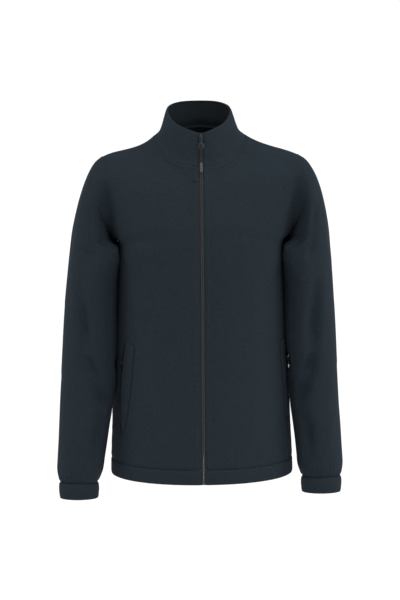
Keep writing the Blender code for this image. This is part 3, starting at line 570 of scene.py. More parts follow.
def through(values, places, closed=False):
    """Read rows of points at places between them, on a smooth curve through them all."""
    count = len(values)
    if closed:
        padded = np.concatenate([values[-1:], values, values[:2]])
    else:
        before = 2 * values[:1] - values[1:2]
        after = 2 * values[-1:] - values[-2:-1]
        padded = np.concatenate([before, values, after])
    base = np.clip(np.floor(places).astype(int), 0, count - (1 if closed else 2))
    t = (np.asarray(places) - base).reshape((-1,) + (1,) * (values.ndim - 1))
    p0, p1, p2, p3 = (padded[base + step] for step in range(4))
    return 0.5 * (
        2 * p1
        + (p2 - p0) * t
        + (2 * p0 - 5 * p1 + 4 * p2 - p3) * t**2
        + (3 * p1 - p0 - 3 * p2 + p3) * t**3
    )


def refine(net, row_places, column_places, closed=False):
    """A fine grid of points through every point of a coarse net."""
    rows = through(net, row_places)
    return through(rows.transpose(1, 0, 2), column_places, closed).transpose(1, 0, 2)


def lengths_from(grid, axis, end):
    """How far each point of a grid lies from its first or last row or column."""
    step = np.linalg.norm(np.diff(grid, axis=axis), axis=2)
    start = np.zeros_like(np.take(step, [0], axis=axis))
    along = np.concatenate([start, np.cumsum(step, axis=axis)], axis=axis)
    return np.take(along, [-1], axis=axis) - along if end else along


def snap(grid, column, target):
    """Move one edge column of a grid onto its seam, and the cloth beside it less."""
    distance = lengths_from(grid, 1, column != 0)
    share = np.clip(1 - distance / SNAP_REACH, 0, 1)
    move = target - grid[:, column]
    return grid + ease(share)[:, :, None] * move[:, None, :]


def normals_of(points, faces):
    """The outward direction at each point, from the quads round it."""
    corners = points[faces]
    turn = np.cross(corners[:, 2] - corners[:, 0], corners[:, 3] - corners[:, 1])
    normals = np.zeros_like(points)
    for k in range(4):
        np.add.at(normals, faces[:, k], turn)
    return normals / np.maximum(np.linalg.norm(normals, axis=1, keepdims=True), 1e-12)


def grid_faces(rows, columns, closed=False, flip=False):
    """Quads over a grid of rows, facing out where rows run up and columns run left."""
    row, column = np.meshgrid(
        np.arange(rows - 1), np.arange(columns if closed else columns - 1), indexing="ij"
    )
    row, column = row.ravel(), column.ravel()
    after = (column + 1) % columns
    faces = np.stack(
        [
            row * columns + column,
            row * columns + after,
            (row + 1) * columns + after,
            (row + 1) * columns + column,
        ],
        axis=1,
    )
    return faces[:, ::-1] if flip else faces


def nearest_on(path, points):
    """How far points lie from a path, and at which share of its length each is nearest."""
    nearest = np.full(points.shape[:-1], np.inf)
    share_at = np.zeros(points.shape[:-1])
    for k, (start, end) in enumerate(zip(path, path[1:])):
        way = end - start
        share = np.clip((points - start) @ way / max(way @ way, 1e-12), 0, 1)
        distance = np.linalg.norm(points - start - share[..., None] * way, axis=-1)
        closer = distance < nearest
        nearest = np.where(closer, distance, nearest)
        share_at = np.where(closer, (k + share) / (len(path) - 1), share_at)
    return nearest, share_at


def crease_relief(points, normals, creases):
    """How far creases press each point in. They fade out towards their ends."""
    pressed = np.zeros(len(points))
    axes = {"front": (0, -1), "back": (0, 1), "outer": (1, None)}
    for number, crease in enumerate(creases):
        axis, facing = axes[crease.seen]
        if facing is None:
            shown = np.abs(normals[:, 0]) > 0.3
            shown &= normals[:, 0] * np.sign(points[:, 0]) > 0
        else:
            shown = normals[:, 1] * facing > 0.05
        visible = points[shown]
        flat = visible[:, [axis, 2]]
        path = []
        for place in np.array(crease.path):
            path.append(visible[np.argmin(np.linalg.norm(flat - place, axis=1))])
        path = through(np.array(path), np.linspace(0, len(path) - 1, 25))
        nearest, share_at = nearest_on(path, points)
        fade = np.sin(math.pi * np.clip(share_at, 0, 1)) ** 0.8
        uneven = 1 + 0.22 * np.sin(9.0 * share_at + 1.7 * number)
        width = crease.width * (0.75 + 0.25 * fade)
        pressed += crease.depth * fade * uneven * np.exp(-((nearest / width) ** 2))
    return pressed


def hollow_out(points, side):
    """Let the cloth on both sides of an armhole's front and back seam fall inwards."""
    moved = points.copy()
    for hollow in HOLLOWS[side]:
        path = np.array(hollow.path)
        path = through(path, np.linspace(0, len(path) - 1, 17))
        nearest, share_at = nearest_on(path, points[..., [0, 2]])
        fade = np.sin(math.pi * share_at) ** 0.7
        facing = hollow.facing
        faced = np.clip((facing * points[..., 1] - HOLLOW_START) / HOLLOW_BLEND, 0, 1)
        pull = hollow.depth * fade * ease(faced) * np.exp(-((nearest / hollow.width) ** 2))
        moved[..., 1] -= facing * pull
    return moved


def seam_hold(grid, seams):
    """How far seams keep creases away from each point of a grid, from 0 on a seam to 1."""
    held = np.ones(grid.shape[:2])
    for axis, end, first, last, dip, _ in seams:
        distance = lengths_from(grid, axis, end)
        inside = np.full(distance.shape[1 - axis], 1.0 if dip > ARMHOLE_DIP else 0.0)
        inside[:first] = 0
        if last is not None:
            inside[last:] = 0
        inside = inside[None, :] if axis == 0 else inside[:, None]
        held = np.minimum(held, 1 - inside * np.exp(-((distance / SEAM_HOLD) ** 2)))
    return held


def seam_relief(grid, seams):
    """How far a grid's seams draw its cloth in, with small puckers along them."""
    pressed = np.zeros(grid.shape[:2])
    for axis, end, first, last, dip, pucker in seams:
        distance = lengths_from(grid, axis, end)
        edge = np.take(grid, -1 if end else 0, axis=axis)
        along = lengths_along(edge)
        inside = np.ones(len(edge))
        inside[:first] = 0
        if last is not None:
            inside[last:] = 0
        wave = sum(
            strength * np.sin(along * 2 * math.pi / length + start)
            for length, strength, start in PUCKER_WAVES
        )
        if axis == 0:
            wave, inside = wave[None, :], inside[None, :]
        else:
            wave, inside = wave[:, None], inside[:, None]
        pressed += inside * dip * np.exp(-((distance / SEAM_REACH) ** 2))
        pressed += inside * pucker * wave * np.exp(-((distance / PUCKER_REACH) ** 2))
    return pressed


def shell(
    name, points, faces, thickness, finish, relief, creases=(), held=None, inside=None, seam=()
):
    """A closed thin wall of cloth from its outer points. Its level seam keeps its height."""
    normals = normals_of(points, faces)
    pressed = relief
    if creases:
        pressed = pressed + held * crease_relief(points, normals, creases)
    outer = points - pressed[:, None] * normals
    inner = outer - thickness * normals
    seam = np.array(seam, dtype=int)
    outer[seam, 2] = inner[seam, 2] = points[seam, 2]
    count = len(points)
    edges = {}
    for face in faces.tolist():
        for a, b in zip(face, face[1:] + face[:1]):
            edges[a, b] = True
    rims = [(b, a, a + count, b + count) for a, b in edges if (b, a) not in edges]
    all_faces = faces.tolist() + (faces[:, ::-1] + count).tolist() + rims
    mesh = bpy.data.meshes.new(name)
    mesh.from_pydata(np.concatenate([outer, inner]).tolist(), [], all_faces)
    mesh.materials.append(finish)
    if inside:
        mesh.materials.append(inside)
        inner_start, inner_end = len(faces), 2 * len(faces)
        parts = [int(inner_start <= k < inner_end) for k in range(len(all_faces))]
        mesh.polygons.foreach_set("material_index", parts)
    mesh.polygons.foreach_set("use_smooth", [True] * len(all_faces))
    mesh.update()
    piece = bpy.data.objects.new(name, mesh)
    bpy.context.scene.collection.objects.link(piece)
    return piece, outer


def cloth(
    name, grid, flip, thickness, seams=(), creases=(), more=0.0, closed=False, finish=fleece, **rest
):
    """A wall of cloth over a grid, drawn in at its seams, with more relief if it is given."""
    relief = (seam_relief(grid, seams) + more).ravel()
    held = seam_hold(grid, seams).ravel()
    faces = grid_faces(*grid.shape[:2], closed=closed, flip=flip)
    points = grid.reshape(-1, 3)
    return *shell(name, points, faces, thickness, finish, relief, creases, held, **rest), faces


def dress(piece, nodes, body):
    """Let a piece ride on its body and stand for its nodes."""
    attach(piece, body)
    if nodes:
        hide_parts(*nodes)


# The armholes, as closed rings of seam points that the fronts, the back and the sleeves
# share: down the front from the armpit, over the shoulder and down the back.
SLEEVE_PLACES = [(FRONT, turn) for turn in TURNS[FRONT]] + [
    (BACK, turn) for turn in TURNS[BACK][-2:0:-1]
]


def armhole_line(side, face, rows):
    """The armhole seam at rows counted up from the armpit on one face."""
    ring = np.array([armhole_seam(side, way, turn) for way, turn in SLEEVE_PLACES])
    count = len(ring)
    places = np.asarray(rows) if face == FRONT else (count - np.asarray(rows)) % count
    return through(ring, places, closed=True)


def panel_grid(side, face, row_places, column_places):
    """The fine grid of half a front or back, with each of its edges on its seam."""
    net = panel_net(side, face)
    neck_row = BODY_ROWS + NECK_ROW[face]
    grid = refine(net, row_places, column_places)
    if face == BACK:
        mirrored = net[:, 1:4][:, ::-1] * (-1, 1, 1)
        whole = refine(np.concatenate([mirrored, net], axis=1), row_places, column_places + 3)
        below = row_places <= neck_row
        grid[below] = whole[below]
    below = row_places <= neck_row
    middle = np.where(
        below[:, None],
        through(net[: neck_row + 1, 0], np.minimum(row_places, neck_row)),
        through(net[neck_row:, 0], np.maximum(row_places - neck_row, 0)),
    )
    grid = snap(grid, 0, middle)
    below = row_places <= BODY_ROWS
    edge = np.where(
        below[:, None],
        through(net[: BODY_ROWS + 1, -1], np.minimum(row_places, BODY_ROWS)),
        armhole_line(side, face, np.maximum(row_places - BODY_ROWS, 0)),
    )
    return snap(grid, -1, edge)


front_rows = steps_between(BODY_ROWS + len(TURNS[FRONT]) - 1, 4)
panel_columns = steps_between(PANEL_COLUMNS, 4)
front_neck_start = int(np.searchsorted(front_rows, BODY_ROWS + NECK_ROW[FRONT]))
front_armpit = int(np.searchsorted(front_rows, BODY_ROWS))
front_grids = {}
front_surfaces = {}
for side, name in SIDES:
    grid = hollow_out(panel_grid(side, FRONT, front_rows, panel_columns), side)
    seams = (
        Seam(0, False, 0, None, BAND_DIP, PUCKER),
        Seam(0, True, 0, None, SEAM_DIP, PUCKER),
        Seam(1, True, 0, front_armpit - ROWS_UNDER_ARMPIT, SEAM_DIP, PUCKER),
        Seam(1, True, front_armpit, None, ARMHOLE_DIP, 0),
        Seam(1, False, front_neck_start, None, BAND_DIP, PUCKER),
        Seam(1, False, 0, front_neck_start, SEAM_DIP, PUCKER * 0.8),
    )
    piece, outer, faces = cloth(
        f"fleece_front_{name}", grid, side == RIGHT, FLEECE, seams, creases=FRONT_CREASES[side]
    )
    front_grids[side] = outer.reshape(grid.shape)
    front_surfaces[side] = BVHTree.FromPolygons(outer.tolist(), faces.tolist())
    nodes = (f"front_{name}_lower", f"front_{name}_upper")
    dress(piece, nodes, "jacket")


# ---------------------------------------------------------------- back
# One back, cut whole from the fleece, with the neck's back and both armholes. It has no
# seam down its middle, and hangs in long soft folds from the shoulder blades.

BACK_CREASES = (
    Crease("back", ((-0.158, -0.228), (-0.118, -0.206), (-0.070, -0.190)), 0.0024, 0.014),
    Crease("back", ((0.158, -0.232), (0.112, -0.214), (0.066, -0.205)), 0.0022, 0.013),
    Crease("back", ((-0.120, -0.240), (-0.104, -0.350), (-0.116, -0.500)), 0.0028, 0.018),
    Crease("back", ((0.118, -0.250), (0.108, -0.380), (0.120, -0.530)), 0.0026, 0.019),
    Crease("back", ((-0.052, -0.180), (-0.046, -0.330), (-0.056, -0.470)), 0.0018, 0.024),
    Crease("back", ((0.042, -0.200), (0.050, -0.340), (0.040, -0.520)), 0.0020, 0.023),
    Crease("back", ((-0.088, -0.470), (-0.080, -0.560), (-0.092, -0.636)), -0.0018, 0.016),
    Crease("back", ((0.086, -0.490), (0.082, -0.570), (0.094, -0.636)), -0.0016, 0.017),
    Crease("back", ((0.000, -0.440), (0.008, -0.540), (0.002, -0.634)), -0.0014, 0.020),
    Crease("back", ((-0.130, -0.060), (-0.080, -0.052), (-0.030, -0.056)), 0.0012, 0.013),
    Crease("back", ((0.130, -0.062), (0.078, -0.050), (0.026, -0.054)), 0.0012, 0.013),
)

back_rows = steps_between(BODY_ROWS + len(TURNS[BACK]) - 1, 4)
back_columns = steps_between(PANEL_COLUMNS, 4, start_seam=False)
back_neck_start = int(np.searchsorted(back_rows, BODY_ROWS + NECK_ROW[BACK]))
back_armpit = int(np.searchsorted(back_rows, BODY_ROWS))
points, reliefs, holds, faces = [], [], [], []
back_grids = {}
middle_numbers = {}
for side, _ in SIDES:
    grid = hollow_out(panel_grid(side, BACK, back_rows, back_columns), side)
    back_grids[side] = grid
    seams = (
        Seam(0, False, 0, None, BAND_DIP, PUCKER),
        Seam(0, True, 0, None, SEAM_DIP, PUCKER),
        Seam(1, True, 0, back_armpit - ROWS_UNDER_ARMPIT, SEAM_DIP, PUCKER),
        Seam(1, True, back_armpit, None, ARMHOLE_DIP, 0),
        Seam(1, False, back_neck_start, None, SEAM_DIP, PUCKER),
    )
    relief = seam_relief(grid, seams)
    hold = seam_hold(grid, seams)
    numbers = np.zeros(grid.shape[:2], dtype=int)
    for row in range(grid.shape[0]):
        for column in range(grid.shape[1]):
            if column == 0 and row in middle_numbers:
                numbers[row, 0] = middle_numbers[row]
                continue
            if column == 0 and row <= back_neck_start:
                middle_numbers[row] = len(points)
            numbers[row, column] = len(points)
            points.append(grid[row, column])
            reliefs.append(relief[row, column])
            holds.append(hold[row, column])
    flat_faces = grid_faces(*grid.shape[:2], flip=side == LEFT)
    faces.append(numbers.ravel()[flat_faces])
faces = np.concatenate(faces)
piece, outer = shell(
    "fleece_back",
    np.array(points),
    faces,
    FLEECE,
    fleece,
    np.array(reliefs),
    BACK_CREASES,
    np.array(holds),
)
back_surface = BVHTree.FromPolygons(outer.tolist(), faces.tolist())
dress(piece, ("back",), "jacket")


# ---------------------------------------------------------------- sleeves
# Two set-in sleeves, each one piece of fleece sewn to a tube and eased into its armhole.
# They hang a little forward, fold softly at the elbow, and gather into their cuffs.

Sleeve = namedtuple("Sleeve", "height out forward half_width half_depth")
SLEEVES = {
    RIGHT: (
        Sleeve(-0.250, 0.2139, 0.008, 0.0501, 0.069),
        Sleeve(-0.331, 0.2196, 0.016, 0.0518, 0.066),
        Sleeve(-0.413, 0.2227, 0.022, 0.0541, 0.063),
        Sleeve(-0.478, 0.2250, 0.027, 0.0556, 0.060),
        Sleeve(-0.529, 0.2297, 0.033, 0.0536, 0.057),
        Sleeve(-0.570, 0.2343, 0.039, 0.0510, 0.054),
        Sleeve(-0.610, 0.2385, 0.045, 0.0489, 0.050),
        Sleeve(-0.648, 0.2428, 0.050, 0.0470, 0.046),
        Sleeve(-0.668, 0.2448, 0.053, 0.0456, 0.044),
        Sleeve(-0.681, 0.2463, 0.055, 0.0426, 0.041),
        Sleeve(-0.688, 0.2470, 0.056, 0.0390, 0.038),
    ),
    LEFT: (
        Sleeve(-0.250, 0.2128, 0.008, 0.0498, 0.069),
        Sleeve(-0.331, 0.2154, 0.016, 0.0506, 0.066),
        Sleeve(-0.413, 0.2172, 0.022, 0.0524, 0.063),
        Sleeve(-0.456, 0.2200, 0.026, 0.0512, 0.060),
        Sleeve(-0.498, 0.2228, 0.030, 0.0496, 0.058),
        Sleeve(-0.549, 0.2262, 0.036, 0.0486, 0.055),
        Sleeve(-0.573, 0.2288, 0.040, 0.0478, 0.053),
        Sleeve(-0.611, 0.2321, 0.045, 0.0465, 0.050),
        Sleeve(-0.648, 0.2349, 0.050, 0.0458, 0.046),
        Sleeve(-0.667, 0.2360, 0.053, 0.0448, 0.044),
        Sleeve(-0.681, 0.2374, 0.055, 0.0396, 0.038),
    ),
}
SLEEVE_CAP_ROWS = 8
SLEEVE_ROWS = 19
# The sleeve lies this close to its armhole, so that no light shows through the seam.
ARMHOLE_GAP = 0.00008
CUFF_TILT = math.radians(4)
CAP_REACH = {RIGHT: 0.50, LEFT: 0.66}
CAP_FOOT_OUT = -0.10
CAP_FORWARD = 0.25
CAP_LIFT = 0.70
CAP_FALL = 0.95
CAP_ARRIVE_OUT = 0.1
# The inside of a sleeve keeps clear of the body, and of the pocket pull beside it.
SLEEVE_ROOM = 0.0002
PULL_ROOM = {RIGHT: 0.0035, LEFT: 0.0120}
PULL_ROOM_SPREAD = 0.018
PULL_ROOM_PLACE = (-0.0255, -0.4555)
# How far round the sleeve, and at which level, its inside lies against the body.
HUG_TURN = 80
HUG_HEIGHT = -0.228
HUG_REACH = 0.045

Fold = namedtuple("Fold", "turn height to_turn to_height depth width")
SLEEVE_FOLDS = {
    RIGHT: (
        Fold(118, -0.310, 95, -0.455, 0.0025, 0.020),
        Fold(95, -0.455, 40, -0.545, 0.0035, 0.018),
        Fold(285, -0.330, 262, -0.470, 0.0025, 0.020),
        Fold(262, -0.470, 325, -0.550, 0.0035, 0.018),
    ),
    LEFT: (
        Fold(106, -0.310, 84, -0.465, 0.0025, 0.020),
        Fold(84, -0.465, 38, -0.528, 0.0035, 0.018),
        Fold(276, -0.345, 268, -0.480, 0.0025, 0.020),
        Fold(268, -0.480, 322, -0.540, 0.0035, 0.018),
    ),
}
# A few soft waves and many fine ones round the sleeve, which die out above the cuff.
CUFF_GATHERS = 8
GATHER_DEPTH = 0.0012
GATHER_LENGTH = 0.035
FINE_GATHERS = 23
FINE_GATHER_DEPTH = 0.0020
FINE_GATHER_LENGTH = 0.022

SLEEVE_CREASES = {
    RIGHT: (
        Crease("front", ((-0.217, -0.130), (-0.214, -0.190), (-0.205, -0.245)), 0.0045, 0.009),
        Crease("front", ((-0.208, -0.180), (-0.204, -0.230), (-0.196, -0.285)), -0.0026, 0.009),
        Crease("front", ((-0.240, -0.250), (-0.232, -0.370), (-0.222, -0.465)), 0.0100, 0.012),
        Crease("front", ((-0.252, -0.250), (-0.249, -0.350), (-0.244, -0.440)), -0.0020, 0.009),
        Crease("front", ((-0.226, -0.430), (-0.206, -0.500), (-0.188, -0.545)), 0.0105, 0.014),
        Crease("front", ((-0.250, -0.470), (-0.240, -0.520), (-0.222, -0.575)), 0.0020, 0.012),
        Crease("front", ((-0.204, -0.545), (-0.207, -0.600), (-0.214, -0.655)), 0.0085, 0.014),
        Crease("front", ((-0.262, -0.560), (-0.255, -0.610), (-0.240, -0.650)), -0.0016, 0.010),
        Crease("outer", ((-0.010, -0.330), (0.012, -0.400), (0.020, -0.460)), 0.0030, 0.014),
        Crease("outer", ((-0.030, -0.470), (-0.008, -0.510), (0.010, -0.560)), 0.0030, 0.012),
        Crease("outer", ((-0.040, -0.150), (-0.020, -0.240), (-0.026, -0.330)), 0.0018, 0.014),
        Crease("back", ((-0.228, -0.300), (-0.222, -0.400), (-0.200, -0.480)), 0.0050, 0.015),
        Crease("back", ((-0.212, -0.450), (-0.228, -0.510), (-0.250, -0.560)), 0.0042, 0.013),
    ),
    LEFT: (
        Crease("front", ((0.224, -0.130), (0.220, -0.190), (0.212, -0.245)), 0.0045, 0.009),
        Crease("front", ((0.213, -0.170), (0.206, -0.220), (0.198, -0.275)), -0.0026, 0.009),
        Crease("front", ((0.226, -0.250), (0.221, -0.370), (0.214, -0.470)), 0.0105, 0.013),
        Crease("front", ((0.240, -0.250), (0.238, -0.350), (0.232, -0.440)), -0.0022, 0.010),
        Crease("front", ((0.216, -0.430), (0.203, -0.490), (0.188, -0.540)), 0.0105, 0.014),
        Crease("front", ((0.250, -0.450), (0.240, -0.505), (0.220, -0.550)), 0.0020, 0.012),
        Crease("front", ((0.204, -0.540), (0.206, -0.600), (0.210, -0.655)), 0.0090, 0.014),
        Crease("front", ((0.258, -0.550), (0.252, -0.600), (0.238, -0.645)), -0.0016, 0.010),
        Crease("outer", ((-0.012, -0.320), (0.010, -0.395), (0.022, -0.450)), 0.0030, 0.014),
        Crease("outer", ((-0.032, -0.455), (-0.010, -0.500), (0.008, -0.545)), 0.0030, 0.012),
        Crease("outer", ((-0.038, -0.160), (-0.018, -0.250), (-0.022, -0.340)), 0.0018, 0.014),
        Crease("back", ((0.226, -0.310), (0.220, -0.400), (0.200, -0.470)), 0.0050, 0.015),
        Crease("back", ((0.210, -0.440), (0.226, -0.500), (0.248, -0.548)), 0.0042, 0.013),
    ),
}


def sleeve_point(side, face, turn, height, tilt=0.0):
    """A point of the sleeve below the armhole, at a level and a turn round it."""
    angle = math.radians(turn)
    out, forward, half_width, half_depth = read(
        SLEEVES[side], height, "out", "forward", "half_width", "half_depth"
    )
    y = face * half_depth * math.sin(angle)
    return Vector(
        (side * (out - half_width * math.cos(angle)), y - forward, height - y * math.tan(tilt))
    )


def sleeve_relief(side, face, turn, height):
    """How far the sleeve's largest folds and its gathers press it in at a place."""
    table = SLEEVES[side]
    way_round = turn if face == FRONT else 360 - turn
    radius = smooth(table, "height", "half_depth", height)
    pressed = 0.0
    for fold in SLEEVE_FOLDS[side]:
        start = Vector((math.radians(fold.turn) * radius, fold.height))
        end = Vector((math.radians(fold.to_turn) * radius, fold.to_height))
        place = Vector((math.radians(way_round) * radius, height))
        share = min(max((place - start).dot(end - start) / (end - start).length_squared, 0), 1)
        away = (place - start.lerp(end, share)).length
        pressed += fold.depth * math.exp(-((away / fold.width) ** 2))
    near_cuff = max(0.0, 1 - (height - table[-1].height) / GATHER_LENGTH)
    waves = 0.5 - 0.5 * math.cos(math.radians(way_round) * CUFF_GATHERS)
    return pressed + GATHER_DEPTH * waves * math.sin(math.pi * near_cuff)


def clear_of_body(side, point, turn):
    """Move a sleeve point outwards to where it clears the body, or onto it at the armpit."""
    if not HEM_HEIGHT <= point.z <= BODY[-1].height:
        return point
    front = body_arc(side, FRONT, point.z)
    back = body_arc(side, BACK, point.z)[::-1]
    line = np.array(front + back[1:])
    beside = np.interp(point.y, line[:, 1], np.abs(line[:, 0]))
    away = (Vector((point.y, point.z)) - Vector(PULL_ROOM_PLACE)).length / PULL_ROOM_SPREAD
    least = beside + SLEEVE_ROOM + PULL_ROOM[side] * math.exp(-away * away)
    across = max(abs(point.x), least)
    hug = math.exp(-((turn / HUG_TURN) ** 2) - ((point.z - HUG_HEIGHT) / HUG_REACH) ** 2)
    return Vector((side * (across + hug * (least - across)), point.y, point.z))


def sleeve_net(side):
    """The coarse net of a sleeve, from its armhole down to its cuff seam."""
    top = SLEEVES[side][0].height
    bottom = SLEEVES[side][-1].height
    rows = []
    for row in range(SLEEVE_CAP_ROWS):
        t = row / SLEEVE_CAP_ROWS
        line = []
        for face, turn in SLEEVE_PLACES:
            start = armhole_seam(side, face, turn) + Vector((side * ARMHOLE_GAP, 0, 0))
            end = sleeve_point(side, face, turn, top)
            angle = math.radians(turn)
            raised = (1 - math.cos(angle)) / 2
            leave = Vector(
                (
                    side * (CAP_FOOT_OUT + (CAP_REACH[side] - CAP_FOOT_OUT) * raised),
                    CAP_FORWARD * face * math.sin(angle),
                    CAP_LIFT * raised - CAP_FALL,
                )
            )
            reach = (end - start).length
            arrive = Vector((side * CAP_ARRIVE_OUT, 0, -1))
            point = (
                start * (1 + 2 * t) * (1 - t) ** 2
                + end * t * t * (3 - 2 * t)
                + leave * reach * t * (1 - t) ** 2
                - arrive * reach * t * t * (1 - t)
            )
            line.append(clear_of_body(side, point, turn) if row else point)
        rows.append(line)
    for row in range(SLEEVE_ROWS + 1):
        share = row / SLEEVE_ROWS
        height = top + (bottom - top) * share
        out, forward = read(SLEEVES[side], height, "out", "forward")
        middle = Vector((side * out, -forward, height))
        line = []
        for face, turn in SLEEVE_PLACES:
            point = sleeve_point(side, face, turn, height, CUFF_TILT * share)
            inward = (middle - point).normalized()
            point += sleeve_relief(side, face, turn, height) * inward
            line.append(clear_of_body(side, point, turn))
        rows.append(line)
    return np.array(rows)


sleeve_rows = steps_between(SLEEVE_CAP_ROWS + SLEEVE_ROWS, 5)
sleeve_columns = np.arange(0, len(SLEEVE_PLACES), 0.2)
for side, name in SIDES:
    grid = refine(sleeve_net(side), sleeve_rows, sleeve_columns, closed=True)
    grid = hollow_out(grid, side)
    seams = (Seam(0, False, 0, None, ARMHOLE_DIP, 0), Seam(0, True, 0, None, BAND_DIP, 0))
    from_cuff = lengths_from(grid, 0, True)
    angle = sleeve_columns * 2 * math.pi / len(SLEEVE_PLACES)
    uneven = 0.6 + 0.4 * np.sin(3 * angle + 0.7 * side) * np.sin(5 * angle + 1.3)
    gathers = (0.5 - 0.5 * np.cos(FINE_GATHERS * angle + 0.9 * np.sin(4 * angle))) * uneven
    piece, _, _ = cloth(
        f"fleece_sleeve_{name}",
        grid,
        side == LEFT,
        FLEECE,
        seams,
        closed=True,
        creases=SLEEVE_CREASES[side],
        more=FINE_GATHER_DEPTH * gathers * np.exp(-((from_cuff / FINE_GATHER_LENGTH) ** 2)),
        seam=range((len(sleeve_rows) - 1) * len(sleeve_columns), grid.shape[0] * grid.shape[1]),
    )
    nodes = (f"sleeve_{name}_upper", f"sleeve_{name}_lower")
    dress(piece, nodes, "jacket")


# ---------------------------------------------------------------- cuffs
# Each cuff is a strip of the same fleece folded double and sewn to the gathered end of
# its sleeve, so it is thicker, firm, and rounded at the fold that makes its lower edge.

CUFF_FLEECE = 0.0030
CUFF_DEPTH = 0.032
CUFF_FULLNESS = 0.0012
CUFF_ROWS = 4
cuff_rows = steps_between(CUFF_ROWS, 4)
for side, name in SIDES:
    last = SLEEVES[side][-1]
    net = []
    for row in range(CUFF_ROWS + 1):
        share = row / CUFF_ROWS
        height = last.height - SEAM_GAP - CUFF_DEPTH * share
        swell = CUFF_FULLNESS * math.sin(math.pi * min(1.0, share * 1.2))
        line = []
        for face, turn in SLEEVE_PLACES:
            point = sleeve_point(side, face, turn, last.height, CUFF_TILT)
            middle = Vector((side * last.out, -last.forward, last.height))
            spread = (point - middle) * (1 + swell / last.half_width)
            shift = Vector((0, -math.tan(CUFF_TILT), 0)) * (last.height - height)
            line.append(middle + spread + shift + Vector((0, 0, height - last.height)))
        net.append(line)
    grid = refine(np.array(net), cuff_rows, sleeve_columns, closed=True)
    seams = (Seam(0, False, 0, None, BAND_DIP, PUCKER), Seam(0, True, 0, None, SEAM_DIP, 0))
    rim = range(len(sleeve_columns))
    piece, _, _ = cloth(
        f"fleece_cuff_{name}", grid, side == LEFT, CUFF_FLEECE, seams, closed=True, seam=rim
    )
    dress(piece, (f"cuff_{name}",), "jacket")


# ---------------------------------------------------------------- hem band
# A strip of the fleece folded double and sewn round the bottom of the fronts and the
# back, from one half of the zip to the other.

HEM_FLEECE = 0.0030


def body_ring(height):
    """A level line all round the body, from the zip to the zip, by the right side."""
    parts = []
    for side, face, reverse in (
        (RIGHT, FRONT, False),
        (RIGHT, BACK, True),
        (LEFT, BACK, False),
        (LEFT, FRONT, True),
    ):
        line = evenly(body_arc(side, face, height), PANEL_COLUMNS)
        parts.append(line[::-1] if reverse else line)
    ring = parts[0]
    for line in parts[1:]:
        ring = ring + line[1:]
    return ring


heights = (HEM_SEAM - SEAM_GAP / 2, (HEM_SEAM + HEM_HEIGHT) / 2, HEM_HEIGHT)
net = np.array([body_ring(height) for height in heights])
grid = refine(net, steps_between(2, 6), steps_between(4 * PANEL_COLUMNS, 4))
band_seams = (
    Seam(0, False, 0, None, BAND_DIP, PUCKER),
    Seam(0, True, 0, None, SEAM_DIP, 0),
    Seam(1, False, 0, None, SEAM_DIP, 0),
    Seam(1, True, 0, None, SEAM_DIP, 0),
)
piece, _, _ = cloth("fleece_hem_band", grid, False, HEM_FLEECE, band_seams)
dress(piece, ("hem_band",), "jacket")


# ---------------------------------------------------------------- collar
# A stand collar of two layers of the fleece, sewn round the neck from one half of the
# zip to the other. Its front is lower than its back, and its rim is a soft fold.

COLLAR_FLEECE = 0.0030
COLLAR_RIM = (
    Neck(0, 0.0092),
    Neck(25, 0.0178),
    Neck(50, 0.0270),
    Neck(70, 0.0385),
    Neck(90, 0.0475),
    Neck(110, 0.0540),
    Neck(130, 0.0581),
    Neck(155, 0.0608),
    Neck(180, 0.0610),
)
RIM_HALF_WIDTH = {RIGHT: 0.0664, LEFT: 0.0626}
RIM_FRONT = 0.078
RIM_BACK = 0.068
COLLAR_LEVELS = (0, 0.07, 0.20, 0.42, 0.70, 1)
COLLAR_SLOPE = 0.61
COLLAR_FLARE = 10.0
COLLAR_CREASES = (
    Crease("front", ((-0.030, -0.046), (-0.052, -0.020), (-0.066, 0.008)), 0.0014, 0.010),
    Crease("front", ((0.034, -0.044), (0.056, -0.022), (0.068, 0.006)), 0.0012, 0.011),
    Crease("back", ((-0.040, 0.012), (0.000, 0.026), (0.044, 0.018)), 0.0010, 0.010),
)


def collar_lean(up):
    """How far in towards its rim the collar has come at a share of its height."""
    return COLLAR_SLOPE * up + (1 - COLLAR_SLOPE) * (1 - (1 - up) ** COLLAR_FLARE)


# The collar's inside takes the same fleece pattern in a slightly darker, greyer pair of colours.
collar_facing = make_fleece("darker fleece of the collar's inside", "#1c2226", "#242b30")
front_steps = len(TURNS[FRONT]) - 1 - NECK_ROW[FRONT]
back_steps = len(TURNS[BACK]) - 1 - NECK_ROW[BACK]
span = 180 - SHOULDER_SEAM_TURN
turns = [SHOULDER_SEAM_TURN * k / front_steps for k in range(front_steps + 1)]
turns += [SHOULDER_SEAM_TURN + span * k / back_steps for k in range(1, back_steps + 1)]
places = [(RIGHT, turn) for turn in turns] + [(LEFT, turn) for turn in turns[-2::-1]]
net = []
for row, up in enumerate(COLLAR_LEVELS):
    inward = collar_lean(up)
    line = []
    for side, turn in places:
        base, down_body = neck_seam(side, turn)
        x, y = neck_ring(turn, side, RIM_HALF_WIDTH[side], RIM_FRONT, RIM_BACK)
        rim = Vector((x, y, smooth(COLLAR_RIM, "turn", "height", turn)))
        point = base + Vector(
            ((rim.x - base.x) * inward, (rim.y - base.y) * inward, (rim.z - base.z) * up)
        )
        if row == 0:
            point -= SEAM_GAP / 2 * down_body
        line.append(point)
    net.append(line)
grid = refine(
    np.array(net), steps_between(len(COLLAR_LEVELS) - 1, 5), steps_between(len(places) - 1, 5)
)
piece, _, _ = cloth(
    "fleece_collar",
    grid,
    True,
    COLLAR_FLEECE,
    band_seams,
    creases=COLLAR_CREASES,
    inside=collar_facing,
)
dress(piece, ("collar",), "jacket")


# ---------------------------------------------------------------- stitching
# Rows of lockstitch in matching polyester thread: beside the zip, under the neck seam,
# over the hem seam, beside the pockets and round the small guard beside the zip.

